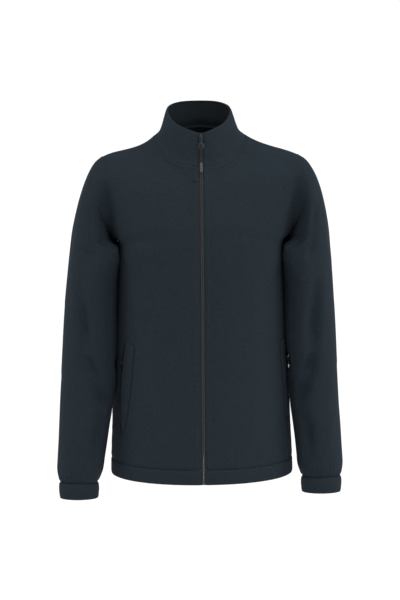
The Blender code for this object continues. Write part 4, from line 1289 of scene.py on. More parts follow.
STITCH_PITCH = 0.0030
STITCH = (0.00075, 0.0030, 0.00065)
STITCH_LIFT = 0.00005


def row_tree():
    """Geometry Nodes that set one rounded piece after another along lines."""
    tree = bpy.data.node_groups.new("row of small pieces", "GeometryNodeTree")
    sockets = (
        ("Lines", "NodeSocketGeometry"),
        ("Pitch", "NodeSocketFloat"),
        ("Across", "NodeSocketFloat"),
        ("Along", "NodeSocketFloat"),
        ("Thick", "NodeSocketFloat"),
        ("Finish", "NodeSocketMaterial"),
    )
    for name, kind in sockets:
        tree.interface.new_socket(name=name, in_out="INPUT", socket_type=kind)
    tree.interface.new_socket(name="Row", in_out="OUTPUT", socket_type="NodeSocketGeometry")
    given = add_node(tree, "NodeGroupInput").outputs

    def step(kind, inputs=(), **settings):
        """What a new node gives first."""
        return add_node(tree, kind, inputs, **settings).outputs[0]

    lines = step("GeometryNodeMeshToCurve", [("Mesh", given["Lines"])])
    spacing = [("Curve", lines), ("Length", given["Pitch"])]
    places = step("GeometryNodeResampleCurve", spacing, mode="LENGTH")
    sides = [("X", given["Across"]), ("Y", given["Along"]), ("Z", given["Thick"])]
    size = step("ShaderNodeCombineXYZ", sides)
    block = step("GeometryNodeMeshCube", [("Size", size)])
    block = step("GeometryNodeSubdivisionSurface", [("Mesh", block)])
    out = step("GeometryNodeInputNamedAttribute", [("Name", "out")], data_type="FLOAT_VECTOR")
    upright = step("FunctionNodeAlignRotationToVector", [("Vector", out)], axis="Z")
    tangent = step("GeometryNodeInputTangent")
    turned = step(
        "FunctionNodeAlignRotationToVector",
        [("Rotation", upright), ("Vector", tangent)],
        axis="Y",
        pivot_axis="Z",
    )
    row = step(
        "GeometryNodeInstanceOnPoints",
        [("Points", places), ("Instance", block), ("Rotation", turned)],
    )
    row = step("GeometryNodeRealizeInstances", [("Geometry", row)])
    row = step("GeometryNodeSetShadeSmooth", [("Geometry", row)])
    row = step("GeometryNodeSetMaterial", [("Geometry", row), ("Material", given["Finish"])])
    add_node(tree, "NodeGroupOutput", [("Row", row)])
    return tree


pieces_along = row_tree()


def set_along(name, lines, pitch, size, finish):
    """Pieces of one size along lines, each a list of points and of the ways out there."""
    points = np.concatenate([line for line, _ in lines])
    ways = np.concatenate([out for _, out in lines])
    edges = []
    start = 0
    for line, _ in lines:
        edges += [(start + k, start + k + 1) for k in range(len(line) - 1)]
        start += len(line)
    mesh = bpy.data.meshes.new(name)
    mesh.from_pydata(points.tolist(), edges, [])
    attribute = mesh.attributes.new("out", "FLOAT_VECTOR", "POINT")
    attribute.data.foreach_set("vector", ways.ravel())
    row = bpy.data.objects.new(name, mesh)
    bpy.context.scene.collection.objects.link(row)
    modifier = row.modifiers.new("row", "NODES")
    modifier.node_group = pieces_along
    values = {
        "Pitch": pitch,
        "Across": size[0],
        "Along": size[1],
        "Thick": size[2],
        "Finish": finish,
    }
    for socket in pieces_along.interface.items_tree:
        if socket.in_out == "INPUT" and socket.name in values:
            modifier[socket.identifier] = values[socket.name]
    made = bpy.data.meshes.new_from_object(
        row.evaluated_get(bpy.context.evaluated_depsgraph_get())
    )
    row.modifiers.clear()
    row.data = made
    return row


def beside_edge(grid, axis, distance):
    """The line on a grid that runs at one distance from its first row or column."""
    if axis == 0:
        grid = grid.transpose(1, 0, 2)
    along = lengths_from(grid, 1, False)
    return np.array(
        [
            [np.interp(distance, lengths, line[:, k]) for k in range(3)]
            for lengths, line in zip(along, grid)
        ]
    )


def parted(places):
    """A list of points with their ways out, as an array of points and one of ways."""
    return np.array([point for point, _ in places]), np.array([out for _, out in places])


def lay_on(surface, line, lift):
    """Put a line on the nearest places of a surface, and give the ways out there."""
    points, ways = [], []
    for place in line:
        location, normal, _, _ = surface.find_nearest(Vector(place))
        points.append(location + lift * normal)
        ways.append(normal)
    return np.array(points), np.array(ways)


# Spun thread, a shade lighter than the fleece: a row of it reads as small firm dashes.
thread, tree, shader, place = new_material("matching spun polyester thread")
twist = add_speckle(tree, place, 0.0006, 1.0)
set_surface(tree, shader, ("#232a31",), 0.6, 0.3, relief=(twist, 0.5, 0.0001))

ZIP_STITCH_EDGE = 0.0078
SEAM_STITCH_EDGE = 0.0022
lines = []
for side, _ in SIDES:
    grid, surface = front_grids[side], front_surfaces[side]
    zip_row = beside_edge(grid[: front_neck_start + 1], 1, ZIP_STITCH_EDGE)
    neck_row = beside_edge(grid[front_neck_start:], 1, SEAM_STITCH_EDGE)
    hem_row = beside_edge(grid, 0, SEAM_STITCH_EDGE)
    lines += [lay_on(surface, line, STITCH_LIFT) for line in (zip_row, neck_row, hem_row)]
for grid in back_grids.values():
    neck_row = beside_edge(grid[back_neck_start:], 1, SEAM_STITCH_EDGE)
    hem_row = beside_edge(grid, 0, SEAM_STITCH_EDGE)
    lines += [lay_on(back_surface, line, STITCH_LIFT) for line in (neck_row, hem_row)]
stitches = set_along("stitching", lines, STITCH_PITCH, STITCH, thread)
dress(stitches, (), "jacket")


# ---------------------------------------------------------------- front zip
# A coil zip: two woven polyester tapes, sewn behind the fronts' edges from the hem to
# the collar's rim, each with a nylon coil whose loops lock between the other's.

ZIP_TAPE_INNER = 0.0001
ZIP_TAPE_OUTER = 0.0080
ZIP_TAPE_FRONT = 0.0027
ZIP_TAPE_BACK = 0.0034
ZIP_ROWS = 180
COIL_PITCH = 0.0015
COIL_LOOP = (0.0040, 0.00125, 0.0018)
COIL_DEPTH = 0.0014
COIL_MIDDLE = 0.00155
COIL_STEPS = 240
SLIDER_TOP = 0.003


def front_line(height):
    """How far forward the middle of the front is, on the hem, the body or the collar."""
    base = MIDDLE[FRONT][-1]
    if height <= ARMPIT:
        return smooth(BODY, "height", "front", height)
    if height <= base.height:
        return smooth(MIDDLE[FRONT], "height", "reach", height)
    up = min((height - base.height) / (COLLAR_RIM[0].height - base.height), 1)
    return base.reach + (RIM_FRONT - base.reach) * collar_lean(up)


def front_frame(height):
    """A place on the middle of the front: the point and the way out of the cloth."""
    step = 0.001
    down = Vector((0, front_line(height) - front_line(height - step), -step)).normalized()
    return Vector((0, -front_line(height), height)), Vector((0, down.z, -down.y))


def add_weave(tree, place, pitch, direction):
    """Fine ribs at a pitch, for the threads of a tape that run one way."""
    scale = 2 * math.pi / (20 * pitch)
    inputs = [("Vector", place), ("Scale", scale), ("Distortion", 0.3)]
    return add_node(tree, "ShaderNodeTexWave", inputs, bands_direction=direction).outputs["Fac"]


# Woven tape: flat and a little greyer than the fleece, with a fine crossed weave.
zip_tape, tree, shader, place = new_material("woven polyester zip tape")
warp = add_weave(tree, place, 0.0007, "X")
weft = add_weave(tree, place, 0.0009, "Z")
weave = add_node(tree, "ShaderNodeMath", [(0, warp), (1, weft)], operation="MULTIPLY").outputs[0]
set_surface(tree, shader, ("#23282b", "#323638"), 0.75, 0.25, weave, (weave, 0.5, 0.0002))

# Nylon wire: smoother than the tape, so each loop of the coil catches a small light.
coil_nylon, tree, shader, _ = new_material("dyed nylon monofilament coil")
set_surface(tree, shader, ("#303435",), 0.42)
shader.inputs["IOR"].default_value = 1.53

zip_heights = np.linspace(HEM_HEIGHT, COLLAR_RIM[0].height, ZIP_ROWS + 1)
frames = [front_frame(height) for height in zip_heights]
for side, name in SIDES:
    section = [
        (ZIP_TAPE_INNER, ZIP_TAPE_FRONT),
        (ZIP_TAPE_OUTER, ZIP_TAPE_FRONT),
        (ZIP_TAPE_OUTER, ZIP_TAPE_BACK),
        (ZIP_TAPE_INNER, ZIP_TAPE_BACK),
    ]
    points = []
    for point, out in frames:
        points += [point - depth * out + Vector((side * x, 0, 0)) for x, depth in section]
    faces = grid_faces(len(frames), 4, closed=True, flip=side == RIGHT).tolist()
    first, last = [0, 1, 2, 3], [len(points) - 1 - k for k in range(4)]
    ends = [first, last] if side == RIGHT else [first[::-1], last[::-1]]
    tape = new_piece(f"zip_tape_{name}", points, faces + ends, zip_tape)
    dress(tape, (f"front_zip_{name}",), "jacket")
    shift = COIL_PITCH / 2 if side == LEFT else 0.0
    line = []
    for height in np.linspace(HEM_HEIGHT + COIL_PITCH + shift, SLIDER_TOP + shift, COIL_STEPS):
        point, out = front_frame(height)
        line.append((point - COIL_DEPTH * out + Vector((side * COIL_MIDDLE, 0, 0)), out))
    coil = set_along(f"zip_coil_{name}", [parted(line)], COIL_PITCH, COIL_LOOP, coil_nylon)
    dress(coil, (), "jacket")


# ---------------------------------------------------------------- zip guard
# A small patch of the fleece beside the zip, just under the neck seam, sewn down round
# its edge. It backs the slider's end of the zip, and its lower end is round.

FIT_REACH = 0.030
GUARD_INNER = 0.0052
GUARD_OUTER = 0.0158
GUARD_TOP = -0.0575
GUARD_BOTTOM = -0.0845
GUARD_ROUND = 0.0053
GUARD_LIFT = 0.0010
GUARD_LAYER = 0.0006
GUARD_ROLL = 0.0012
GUARD_STITCH_EDGE = 0.0017
GUARD_STITCH = (0.00065, 0.0024, 0.0005)
GUARD_STITCH_PITCH = 0.0027
GUARD_STITCH_TOP = GUARD_TOP - 0.002


def front_fit(side, place, normal):
    """The front's cloth at a place: the point on it and the way out of it there."""
    way = Vector(normal)
    surface = front_surfaces[side]
    point, out, _, _ = surface.ray_cast(Vector(place) + FIT_REACH * way, -way, 2 * FIT_REACH)
    if point is None:
        point, out, _, _ = surface.find_nearest(Vector(place))
    return point, out


def rolled_edge(distance, radius):
    """How full a folded edge is at a distance in from it, from 0 to 1."""
    short = 1 - np.clip(distance / radius, 0, 1)
    return np.sqrt(1 - short * short)


def guard_half_width(height):
    """Half the guard's width at a height: straight, then a half round at its foot."""
    half = (GUARD_OUTER - GUARD_INNER) / 2
    above = min((height - GUARD_BOTTOM) / GUARD_ROUND, 1)
    return half * math.sqrt(max(1 - (1 - above) ** 2, 0.0004))


guard_middle = -(GUARD_INNER + GUARD_OUTER) / 2
guard_heights = np.concatenate(
    [
        GUARD_BOTTOM + GUARD_ROUND * (1 - np.cos(np.linspace(0, math.pi / 2, 12))),
        np.linspace(GUARD_BOTTOM + GUARD_ROUND, GUARD_TOP, 16)[1:],
    ]
)
points = []
for height in guard_heights:
    half = guard_half_width(height)
    row = []
    for share in np.cos(np.linspace(math.pi, 0, 17)):
        start = (guard_middle - share * half, -front_line(height), height)
        point, out = front_fit(RIGHT, start, (0, -1, 0))
        edge = min(half * (1 - abs(share)), height - GUARD_BOTTOM)
        full = float(rolled_edge(edge, GUARD_ROLL))
        point = point + (GUARD_LAYER + GUARD_LIFT * full) * out
        row.append(point)
    points.append(row)
guard, _, _ = cloth("zip_guard", np.array(points), True, GUARD_LAYER)
dress(guard, (), "jacket")

stitch_half = (GUARD_OUTER - GUARD_INNER) / 2 - GUARD_STITCH_EDGE
stitch_foot = GUARD_BOTTOM + GUARD_STITCH_EDGE + stitch_half
path = [(-stitch_half, height) for height in np.linspace(GUARD_STITCH_TOP, stitch_foot, 12)]
for angle in np.linspace(0, math.pi, 14)[1:-1]:
    path.append((-stitch_half * math.cos(angle), stitch_foot - stitch_half * math.sin(angle)))
path += [(stitch_half, height) for height in np.linspace(stitch_foot, GUARD_STITCH_TOP, 12)]
line, ways = [], []
for across, height in path:
    start = (guard_middle + across, -front_line(height), height)
    point, out = front_fit(RIGHT, start, (0, -1, 0))
    line.append(point + (GUARD_LAYER + GUARD_LIFT + STITCH_LIFT) * out)
    ways.append(out)
row = [(np.array(line), np.array(ways))]
stitches = set_along("stitching_zip_guard", row, GUARD_STITCH_PITCH, GUARD_STITCH, thread)
dress(stitches, (), "jacket")


# ---------------------------------------------------------------- side pockets
# Two side pockets. Each has a folded welt of the fleece, sewn down along its front edge
# and across its top, and behind it a fine coil zip that closes towards the sleeve.

Welt = namedtuple("Welt", "height front_edge width")
POCKETS = {
    RIGHT: (
        Welt(-0.586, 0.1552, 0.009),
        Welt(-0.545, 0.1476, 0.025),
        Welt(-0.500, 0.1418, 0.034),
        Welt(-0.454, 0.1370, 0.033),
        Welt(-0.407, 0.1326, 0.027),
    ),
    LEFT: (
        Welt(-0.586, 0.1704, 0.009),
        Welt(-0.545, 0.1650, 0.025),
        Welt(-0.500, 0.1608, 0.034),
        Welt(-0.454, 0.1572, 0.033),
        Welt(-0.407, 0.1538, 0.027),
    ),
}
POCKET_TOP = -0.407
POCKET_BOTTOM = -0.586
WELT_THICKNESS = 0.0020
WELT_LAYER = 0.0005
WELT_ROLL = 0.0016
WELT_STITCH_EDGE = 0.0022
WELT_CORNER = 0.0070
# How far on both sides of a place the way that the cloth runs there is measured.
POCKET_STEP = 0.004
# How much of its width the welt's corner takes, and how far its edge sags along it.
WELT_CORNER_SHARE = 0.45
WELT_SAG = 0.0004
WELT_SAG_RATE = 95.0
# The rows of stitches start this far above the welt's foot, and run past its top edge.
STITCH_START = 0.003
TOP_STITCH_ABOVE = 0.0035
TOP_STITCH_BEFORE = 0.004
COIL_LIFT = 0.0004
POCKET_ZIP_WIDTH = 0.0058
POCKET_TAPE_THICKNESS = 0.0005
POCKET_ZIP_THICKNESS = 0.0012
POCKET_COIL_PITCH = 0.0011
POCKET_COIL = (0.0030, 0.0009, 0.0011)


def pocket_place(side, height, along):
    """A point on the front, along metres behind the welt's front edge, and its normal."""
    line = np.array(body_arc(side, FRONT, height))
    lengths = lengths_along(line)
    front_edge = smooth(POCKETS[side], "height", "front_edge", height)
    start = np.interp(front_edge, np.abs(line[:, 0]), lengths)
    before, place, after = (
        Vector([np.interp(start + along + move, lengths, line[:, axis]) for axis in range(3)])
        for move in (-POCKET_STEP, 0, POCKET_STEP)
    )
    run = after - before
    return place, Vector((side * abs(run.y), -abs(run.x), 0)).normalized()


def on_pocket(side, height, along, lift):
    """A place by the pocket, at a lift above the front's cloth, and the way out."""
    place, normal = pocket_place(side, height, along)
    point, _ = front_fit(side, place, normal)
    return point + lift * normal, normal


# Thin black tape, almost matte: its very dark colour is partly the tape's own black and partly
# painted shadow of the welt, so the pocket's zip hides by its welt.
fine_tape_darkened_as_shadow, tree, shader, place = new_material("fine black zip tape, darkened as the welt's shadow")
weft = add_weave(tree, place, 0.0007, "Z")
set_surface(tree, shader, ("#14181b",), 0.8, 0.2, relief=(weft, 0.5, 0.0001))

# Fine black wire, darkened like its tape as painted shadow of the welt: a faint gloss along the
# coil tells it from its tape.
fine_coil_darkened_as_shadow, tree, shader, _ = new_material("fine black nylon coil, darkened as the welt's shadow")
set_surface(tree, shader, ("#101316",), 0.5, 0.3)

welt_heights = np.linspace(POCKET_BOTTOM, POCKET_TOP, 90)
welt_columns = (1 - np.cos(np.linspace(0, math.pi, 19))) / 2
for side, name in SIDES:
    table = POCKETS[side]
    points = []
    for height in welt_heights:
        width = smooth(table, "height", "width", height)
        below_top = POCKET_TOP - height
        corner = 1 - min(below_top / WELT_CORNER, 1)
        start = WELT_CORNER_SHARE * width * (1 - math.sqrt(max(1 - corner * corner, 0.02)))
        row = []
        for share in welt_columns:
            along = start + (width - start) * share
            edge = min(along - start, width - along, below_top, height - POCKET_BOTTOM)
            full = float(rolled_edge(edge, WELT_ROLL))
            sag = WELT_SAG * math.sin(WELT_SAG_RATE * height + 2.1 * side)
            lift = WELT_LAYER + (WELT_THICKNESS - WELT_LAYER + sag) * full
            point, _ = on_pocket(side, height, along, SEAM_GAP + lift)
            row.append(point)
        points.append(row)
    welt, _, _ = cloth(f"fleece_pocket_welt_{name}", np.array(points), side == RIGHT, WELT_LAYER)
    dress(welt, (f"pocket_welt_{name}",), "jacket")

    front_row, top_row = [], []
    for height in np.linspace(POCKET_BOTTOM + STITCH_START, POCKET_TOP - WELT_CORNER, 60):
        place = on_pocket(side, height, WELT_STITCH_EDGE, SEAM_GAP + WELT_THICKNESS)
        front_row.append(place)
    top_width = smooth(table, "height", "width", POCKET_TOP)
    for along in np.linspace(-TOP_STITCH_BEFORE, top_width, 12):
        top_row.append(on_pocket(side, POCKET_TOP + TOP_STITCH_ABOVE, along, STITCH_LIFT))
    rows = [parted(row) for row in (front_row, top_row)]
    stitches = set_along(f"stitching_pocket_{name}", rows, STITCH_PITCH, STITCH, thread)
    dress(stitches, (), "jacket")

    points, coil_line = [], []
    for height in np.linspace(POCKET_BOTTOM, POCKET_TOP, 60):
        width = smooth(table, "height", "width", height)
        row = []
        for share in (0, 0.5, 1):
            along = width + SEAM_GAP + POCKET_ZIP_WIDTH * share
            row.append(on_pocket(side, height, along, SEAM_GAP + POCKET_TAPE_THICKNESS)[0])
        points.append(row)
        middle = width + SEAM_GAP + POCKET_ZIP_WIDTH / 2
        coil_lift = SEAM_GAP + POCKET_TAPE_THICKNESS + COIL_LIFT
        coil_line.append(on_pocket(side, height, middle, coil_lift))
    tape, _, _ = cloth(
        f"pocket_zip_tape_{name}",
        np.array(points),
        side == RIGHT,
        POCKET_TAPE_THICKNESS,
        finish=fine_tape_darkened_as_shadow,
    )
    dress(tape, (f"pocket_zip_{name}",), "jacket")
    coil = set_along(
        f"pocket_zip_coil_{name}", [parted(coil_line)], POCKET_COIL_PITCH, POCKET_COIL, fine_coil_darkened_as_shadow
    )
    dress(coil, (), "jacket")


# ---------------------------------------------------------------- sliders and pulls
# Die-cast zinc sliders, plated a dark gunmetal. Each has a small bridge that its stamped
# tab hangs from. The front tab ends in a ring for the cord pull.

PullSize = namedtuple("PullSize", "plate_width plate_length scale")
FRONT_PULL = PullSize(0.0084, 0.0110, 1.0)
POCKET_PULL = PullSize(0.0048, 0.0080, 0.62)
PLATE_THICKNESS = 0.0017
BRIDGE_WIDTH = 0.0022
BRIDGE_HALF_LENGTH = 0.0028
BRIDGE_RISE = 0.0034
BRIDGE_BAR = 0.0011
HINGE_RISE = 0.0012
TAB_THICKNESS = 0.0014
TabEdge = namedtuple("TabEdge", "along half_width")
TAB = (
    TabEdge(-0.0007, 0.0022),
    TabEdge(0.0000, 0.0027),
    TabEdge(0.0048, 0.0027),
    TabEdge(0.0080, 0.0019),
    TabEdge(0.0105, 0.0023),
    TabEdge(0.0128, 0.0043),
    TabEdge(0.0152, 0.0055),
    TabEdge(0.0176, 0.0058),
    TabEdge(0.0200, 0.0053),
    TabEdge(0.0222, 0.0037),
    TabEdge(0.0233, 0.0014),
)
TAB_WINDOW = (0.00075, 0.0045, 0.0030)
TAB_RING_MIDDLE = 0.0176
TAB_RING_HOLE = 0.0034
SLIDER_HEIGHT = 0.0005
SLIDER_LIFT = 0.0001
POCKET_SLIDER_DROP = 0.0400
PULL_LEAN = math.radians(15.0)
CAST_EDGE = 0.00028
PLATE_EDGE = CAST_EDGE * 1.3
CAST_SHARP = math.radians(35)
CAST_WELD = 0.000004
# The plate's neck, the radii of corners, and the rolled edge and sunk foot of the bridge.
PLATE_NECK = 0.001
PLATE_CORNER = 0.0016
BRIDGE_CORNER = 0.0009
BRIDGE_EDGE = 0.00018
BRIDGE_FOOT = -0.0003
WINDOW_CORNER = 0.0008

# Dark plated metal: soft broad highlights that break up where the plating is duller.
gunmetal, tree, shader, place = new_material("gunmetal plated zinc die casting")
tarnish = add_speckle(tree, place, 0.0016, 4.0)
shade = add_node(
    tree, "ShaderNodeMapRange", [("Value", tarnish), ("From Min", 0.35), ("From Max", 0.7)]
).outputs["Result"]
dull = add_node(
    tree,
    "ShaderNodeMapRange",
    [("Value", tarnish), ("From Min", 0.3), ("From Max", 0.7), ("To Min", 0.32), ("To Max", 0.46)],
).outputs["Result"]
set_surface(tree, shader, ("#363b40", "#555c63"), None, None, shade, (tarnish, 0.25, 0.00008))
tree.links.new(dull, shader.inputs["Roughness"])
shader.inputs["Metallic"].default_value = 1.0


def cast(name, outlines, low, high, edge, frame_here):
    """The mesh of a flat piece with rounded edges, from its outline and its holes."""
    curve = bpy.data.curves.new(name, "CURVE")
    curve.dimensions = "2D"
    curve.fill_mode = "BOTH"
    curve.extrude = (high - low) / 2 - edge
    curve.bevel_depth = edge
    curve.bevel_resolution = 2
    curve.offset = -edge
    for outline in outlines:
        spline = curve.splines.new("POLY")
        spline.points.add(len(outline) - 1)
        for point, (x, y) in zip(spline.points, outline):
            point.co = (x, y, 0, 1)
        spline.use_cyclic_u = True
    blank = bpy.data.objects.new(name, curve)
    bpy.context.scene.collection.objects.link(blank)
    depsgraph = bpy.context.evaluated_depsgraph_get()
    mesh = bpy.data.meshes.new_from_object(blank.evaluated_get(depsgraph))
    bpy.data.objects.remove(blank, do_unlink=True)
    weld = bmesh.new()
    weld.from_mesh(mesh)
    bmesh.ops.remove_doubles(weld, verts=weld.verts, dist=CAST_WELD)
    bmesh.ops.recalc_face_normals(weld, faces=weld.faces)
    weld.to_mesh(mesh)
    weld.free()
    mesh.transform(Matrix.Translation((0, 0, (low + high) / 2)))
    mesh.transform(frame_here)
    mesh.shade_smooth()
    mesh.set_sharp_from_angle(angle=CAST_SHARP)
    return mesh


def placed(across, along, out, origin):
    """The matrix of a frame: local X runs across, local Y along and local Z out."""
    turned = Matrix((across, along, out)).transposed().to_4x4()
    turned.translation = origin
    return turned


def rounded(corners, radius, steps=5):
    """An outline with each of its corners turned on a small radius."""
    outline = []
    for k, corner in enumerate(corners):
        corner = Vector(corner)
        before = Vector(corners[k - 1]) - corner
        after = Vector(corners[(k + 1) % len(corners)]) - corner
        reach = min(radius, before.length * 0.45, after.length * 0.45)
        start = corner + before.normalized() * reach
        end = corner + after.normalized() * reach
        for step in range(steps + 1):
            t = step / steps
            outline.append(start * (1 - t) ** 2 + corner * 2 * t * (1 - t) + end * t * t)
    return [(point.x, point.y) for point in outline]


def join_meshes(name, meshes):
    """One piece of plated metal from the meshes of its parts."""
    whole = bmesh.new()
    for mesh in meshes:
        whole.from_mesh(mesh)
        bpy.data.meshes.remove(mesh)
    mesh = bpy.data.meshes.new(name)
    whole.to_mesh(mesh)
    whole.free()
    mesh.materials.append(gunmetal)
    piece = bpy.data.objects.new(name, mesh)
    bpy.context.scene.collection.objects.link(piece)
    return piece


def slider_piece(name, size, seat):
    """A slider: a shield-shaped plate with a small bridge standing on its middle."""
    half, end = size.plate_width / 2, size.plate_length / 2
    plate = (
        (-half, PLATE_NECK - end),
        (-half * 0.7, -end),
        (half * 0.7, -end),
        (half, PLATE_NECK - end),
        (half * 0.85, end / 2),
        (half * 0.5, end),
        (-half * 0.5, end),
        (-half * 0.85, end / 2),
    )
    body = cast(name, [rounded(plate, PLATE_CORNER)], 0, PLATE_THICKNESS, PLATE_EDGE, seat)
    scale = size.scale
    leg, rise, bar = BRIDGE_HALF_LENGTH * scale, BRIDGE_RISE * scale, BRIDGE_BAR * scale
    staple = (
        (-leg, BRIDGE_FOOT),
        (-leg, rise),
        (leg, rise),
        (leg, BRIDGE_FOOT),
        (leg - bar, BRIDGE_FOOT),
        (leg - bar, rise - bar),
        (bar - leg, rise - bar),
        (bar - leg, BRIDGE_FOOT),
    )
    turn = Matrix(((0, 0, 1), (1, 0, 0), (0, 1, 0))).to_4x4()
    stand = seat @ Matrix.Translation((0, 0, PLATE_THICKNESS)) @ turn
    width = BRIDGE_WIDTH * scale / 2
    outline = rounded(staple, BRIDGE_CORNER * scale)
    bridge = cast(name, [outline], -width, width, BRIDGE_EDGE, stand)
    return join_meshes(name, [body, bridge])


def tab_piece(name, scale, hang_frame):
    """A stamped tab with a window for the bridge and a hole in the ring at its end."""
    edges = np.array([(edge.half_width, edge.along) for edge in TAB]) * scale
    edges = through(edges, np.linspace(0, len(edges) - 1, 60))
    outline = [(x, y) for x, y in edges] + [(-x, y) for x, y in edges[::-1]]
    near, far, width = (value * scale for value in TAB_WINDOW)
    half = width / 2
    window = ((-half, near), (half, near), (half, far), (-half, far))
    window = rounded(window, WINDOW_CORNER * scale)
    ring = [
        (
            TAB_RING_HOLE * scale * math.cos(angle),
            (TAB_RING_MIDDLE + TAB_RING_HOLE * math.sin(angle)) * scale,
        )
        for angle in np.linspace(0, 2 * math.pi, 41)[:-1]
    ]
    thick = TAB_THICKNESS * scale / 2
    edge = CAST_EDGE * scale
    plate = cast(name, [outline, window, ring], -thick, thick, edge, hang_frame)
    return join_meshes(name, [plate])


point, out = front_frame(SLIDER_HEIGHT)
down = Vector((0, out.z, -out.y))
seat = placed(down.cross(out), down, out, point + SLIDER_LIFT * out)
slider = slider_piece("metal_front_slider", FRONT_PULL, seat)
dress(slider, ("front_zip_slider",), "jacket")
hinge = point + (SLIDER_LIFT + PLATE_THICKNESS + HINGE_RISE) * out
hang = Vector((0, -math.sin(PULL_LEAN), -math.cos(PULL_LEAN)))
face = Vector((0, -math.cos(PULL_LEAN), math.sin(PULL_LEAN)))
pull_frame = placed(hang.cross(face), hang, face, hinge)
tab = tab_piece("metal_front_tab", FRONT_PULL.scale, pull_frame)
dress(tab, ("front_zip_pull",), "front_pull")

for side, name in SIDES:
    height = POCKET_TOP - POCKET_SLIDER_DROP
    along = smooth(POCKETS[side], "height", "width", height) + SEAM_GAP + POCKET_ZIP_WIDTH / 2
    point, out = pocket_place(side, height, along)
    below, _ = pocket_place(side, height - 0.01, along)
    down = (below - point).normalized()
    out = (out - out.dot(down) * down).normalized()
    lift = POCKET_ZIP_THICKNESS + 3 * SEAM_GAP
    seat = placed(down.cross(out), down, out, point + lift * out)
    slider = slider_piece(f"metal_pocket_slider_{name}", POCKET_PULL, seat)
    dress(slider, (f"pocket_slider_{name}",), "jacket")
    hinge = point + (lift + PLATE_THICKNESS + HINGE_RISE * POCKET_PULL.scale) * out
    frame_here = placed(down.cross(out), down, out, hinge)
    tab = tab_piece(f"metal_pocket_tab_{name}", POCKET_PULL.scale, frame_here)
    dress(tab, (f"pocket_pull_{name}",), f"pocket_pull_{name}")


# ---------------------------------------------------------------- cord pull
# A short length of braided polyester cord, looped through the tab's ring, with both ends
# fixed in a moulded grey rubber tip.

CORD_RADIUS = 0.00082
CORD_SIDES = 14
CORD_PICK = 0.0011
TIP_NEAR, TIP_FAR = 0.0503, 0.0685
CORD_STRANDS = 4
TIP_HALF_WIDTH, TIP_HALF_THICKNESS = 0.0026, 0.0014
# The tip's rolled ends, its taper towards the cord, and how square its section is.
TIP_ROLL = 0.0011
TIP_TAPER = 0.10
TIP_END_WIDTH, TIP_END_THICKNESS = 0.0010, 0.0009
TIP_SQUARENESS = 0.55
TIP_SHARP = math.radians(50)
TIP_RINGS = 24
TIP_SIDES = 28

# Braided cord: two sets of dark strands cross at a slant and leave small pits between.
braid, tree, shader, _ = new_material("braided polyester cord")
around = add_node(tree, "ShaderNodeUVMap", uv_map="lay").outputs[0]
mirrored = add_node(
    tree, "ShaderNodeMapping", [("Vector", around), ("Scale", (-1.0, 1.0, 1.0))]
).outputs[0]
strands, crossing = (
    add_node(
        tree,
        "ShaderNodeTexWave",
        [("Vector", way), ("Scale", 1.0), ("Distortion", 0.0)],
        bands_direction="DIAGONAL",
        wave_profile="SIN",
    ).outputs["Fac"]
    for way in (around, mirrored)
)
plait = add_node(
    tree, "ShaderNodeMath", [(0, strands), (1, crossing)], operation="MAXIMUM"
).outputs[0]
set_surface(tree, shader, ("#0b0e11", "#191d21"), 0.65, 0.3, plait, (plait, 0.6, 0.00015))

# The loop's route in the tab's own frame: across, along and out of its face.
route = (
    (0.00105, 0.0515, 0.0),
    (0.00105, 0.0440, 0.0001),
    (0.00100, 0.0340, 0.0003),
    (0.00095, 0.0270, 0.0010),
    (0.00080, 0.0235, 0.0017),
    (0.00050, 0.0212, 0.0018),
    (0.00015, 0.0195, 0.0010),
    (-0.00015, 0.0192, -0.0002),
    (-0.00050, 0.0205, -0.0014),
    (-0.00080, 0.0232, -0.0018),
    (-0.00095, 0.0270, -0.0009),
    (-0.00100, 0.0340, 0.0),
    (-0.00105, 0.0440, 0.0),
    (-0.00105, 0.0515, 0.0),
)
route = through(np.array(route), np.linspace(0, len(route) - 1, 150))
along = lengths_along(route)
tangents = np.gradient(route, axis=0)
tangents /= np.linalg.norm(tangents, axis=1, keepdims=True)
points = []
aside = np.array((1.0, 0.0, 0.0))
for place, tangent in zip(route, tangents):
    aside = aside - (aside @ tangent) * tangent
    aside = aside / np.linalg.norm(aside)
    across = np.cross(tangent, aside)
    for angle in np.linspace(0, 2 * math.pi, CORD_SIDES + 1)[:-1]:
        offset = math.cos(angle) * aside + math.sin(angle) * across
        points.append(pull_frame @ Vector(place + CORD_RADIUS * offset))
faces = grid_faces(len(route), CORD_SIDES, closed=True, flip=True)
caps = [list(range(CORD_SIDES)), list(range(len(points) - 1, len(points) - 1 - CORD_SIDES, -1))]
cord = new_piece("cord_pull", points, faces.tolist() + caps, braid)
mesh = cord.data
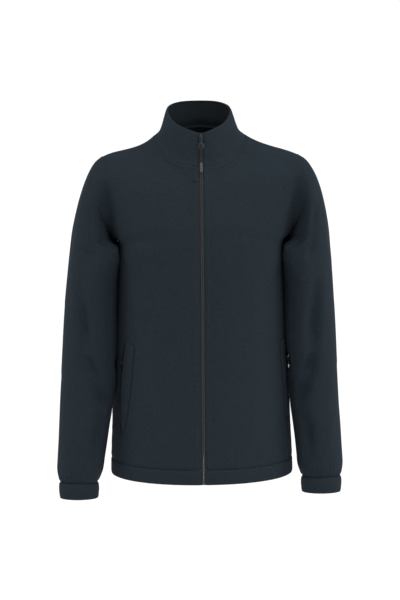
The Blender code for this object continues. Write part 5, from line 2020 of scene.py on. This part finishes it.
lay = mesh.uv_layers.new(name="lay")
for polygon in mesh.polygons:
    for loop in polygon.loop_indices:
        number = mesh.loops[loop].vertex_index
        turn = (number % CORD_SIDES) / CORD_SIDES
        if polygon.index < len(faces) and turn == 0 and polygon.index % CORD_SIDES > 1:
            turn = 1.0
        lay.data[loop].uv = (turn * CORD_STRANDS, along[number // CORD_SIDES] / CORD_PICK)
mesh.shade_smooth()
dress(cord, ("front_zip_pull_cord",), "front_pull")

# Moulded rubber: mid grey with a dull skin, a fine grain and a few paler scuffs.
rubber, tree, shader, place = new_material("moulded thermoplastic rubber")
grain = add_speckle(tree, place, 0.0004, 2.0)
scuffs = add_speckle(tree, place, 0.004, 3.0)
set_surface(tree, shader, ("#3d4042", "#4e5153"), 0.55, 0.4, scuffs, (grain, 0.3, 0.00006))

points = []
for step in range(TIP_RINGS + 1):
    share = step / TIP_RINGS
    along_tip = TIP_NEAR + (TIP_FAR - TIP_NEAR) * (1 - math.cos(math.pi * share)) / 2
    edge = min(along_tip - TIP_NEAR, TIP_FAR - along_tip)
    full = float(rolled_edge(edge, TIP_ROLL))
    taper = 1 - TIP_TAPER * (1 - share)
    for angle in np.linspace(0, 2 * math.pi, TIP_SIDES + 1)[:-1]:
        x = TIP_HALF_WIDTH * taper - TIP_END_WIDTH * (1 - full)
        z = TIP_HALF_THICKNESS * taper - TIP_END_THICKNESS * (1 - full)
        x *= signed_power(math.cos(angle), TIP_SQUARENESS)
        z *= signed_power(math.sin(angle), TIP_SQUARENESS)
        points.append(pull_frame @ Vector((x, along_tip, z)))
faces = grid_faces(TIP_RINGS + 1, TIP_SIDES, closed=True, flip=False).tolist()
last = len(points)
caps = [list(range(TIP_SIDES - 1, -1, -1)), list(range(last - TIP_SIDES, last))]
tip = new_piece("rubber_tip", points, faces + caps, rubber)
tip.data.shade_smooth()
tip.data.set_sharp_from_angle(angle=TIP_SHARP)
dress(tip, ("front_zip_pull_tip",), "front_pull")


corners = [[float(value) for value in corner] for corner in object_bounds()]
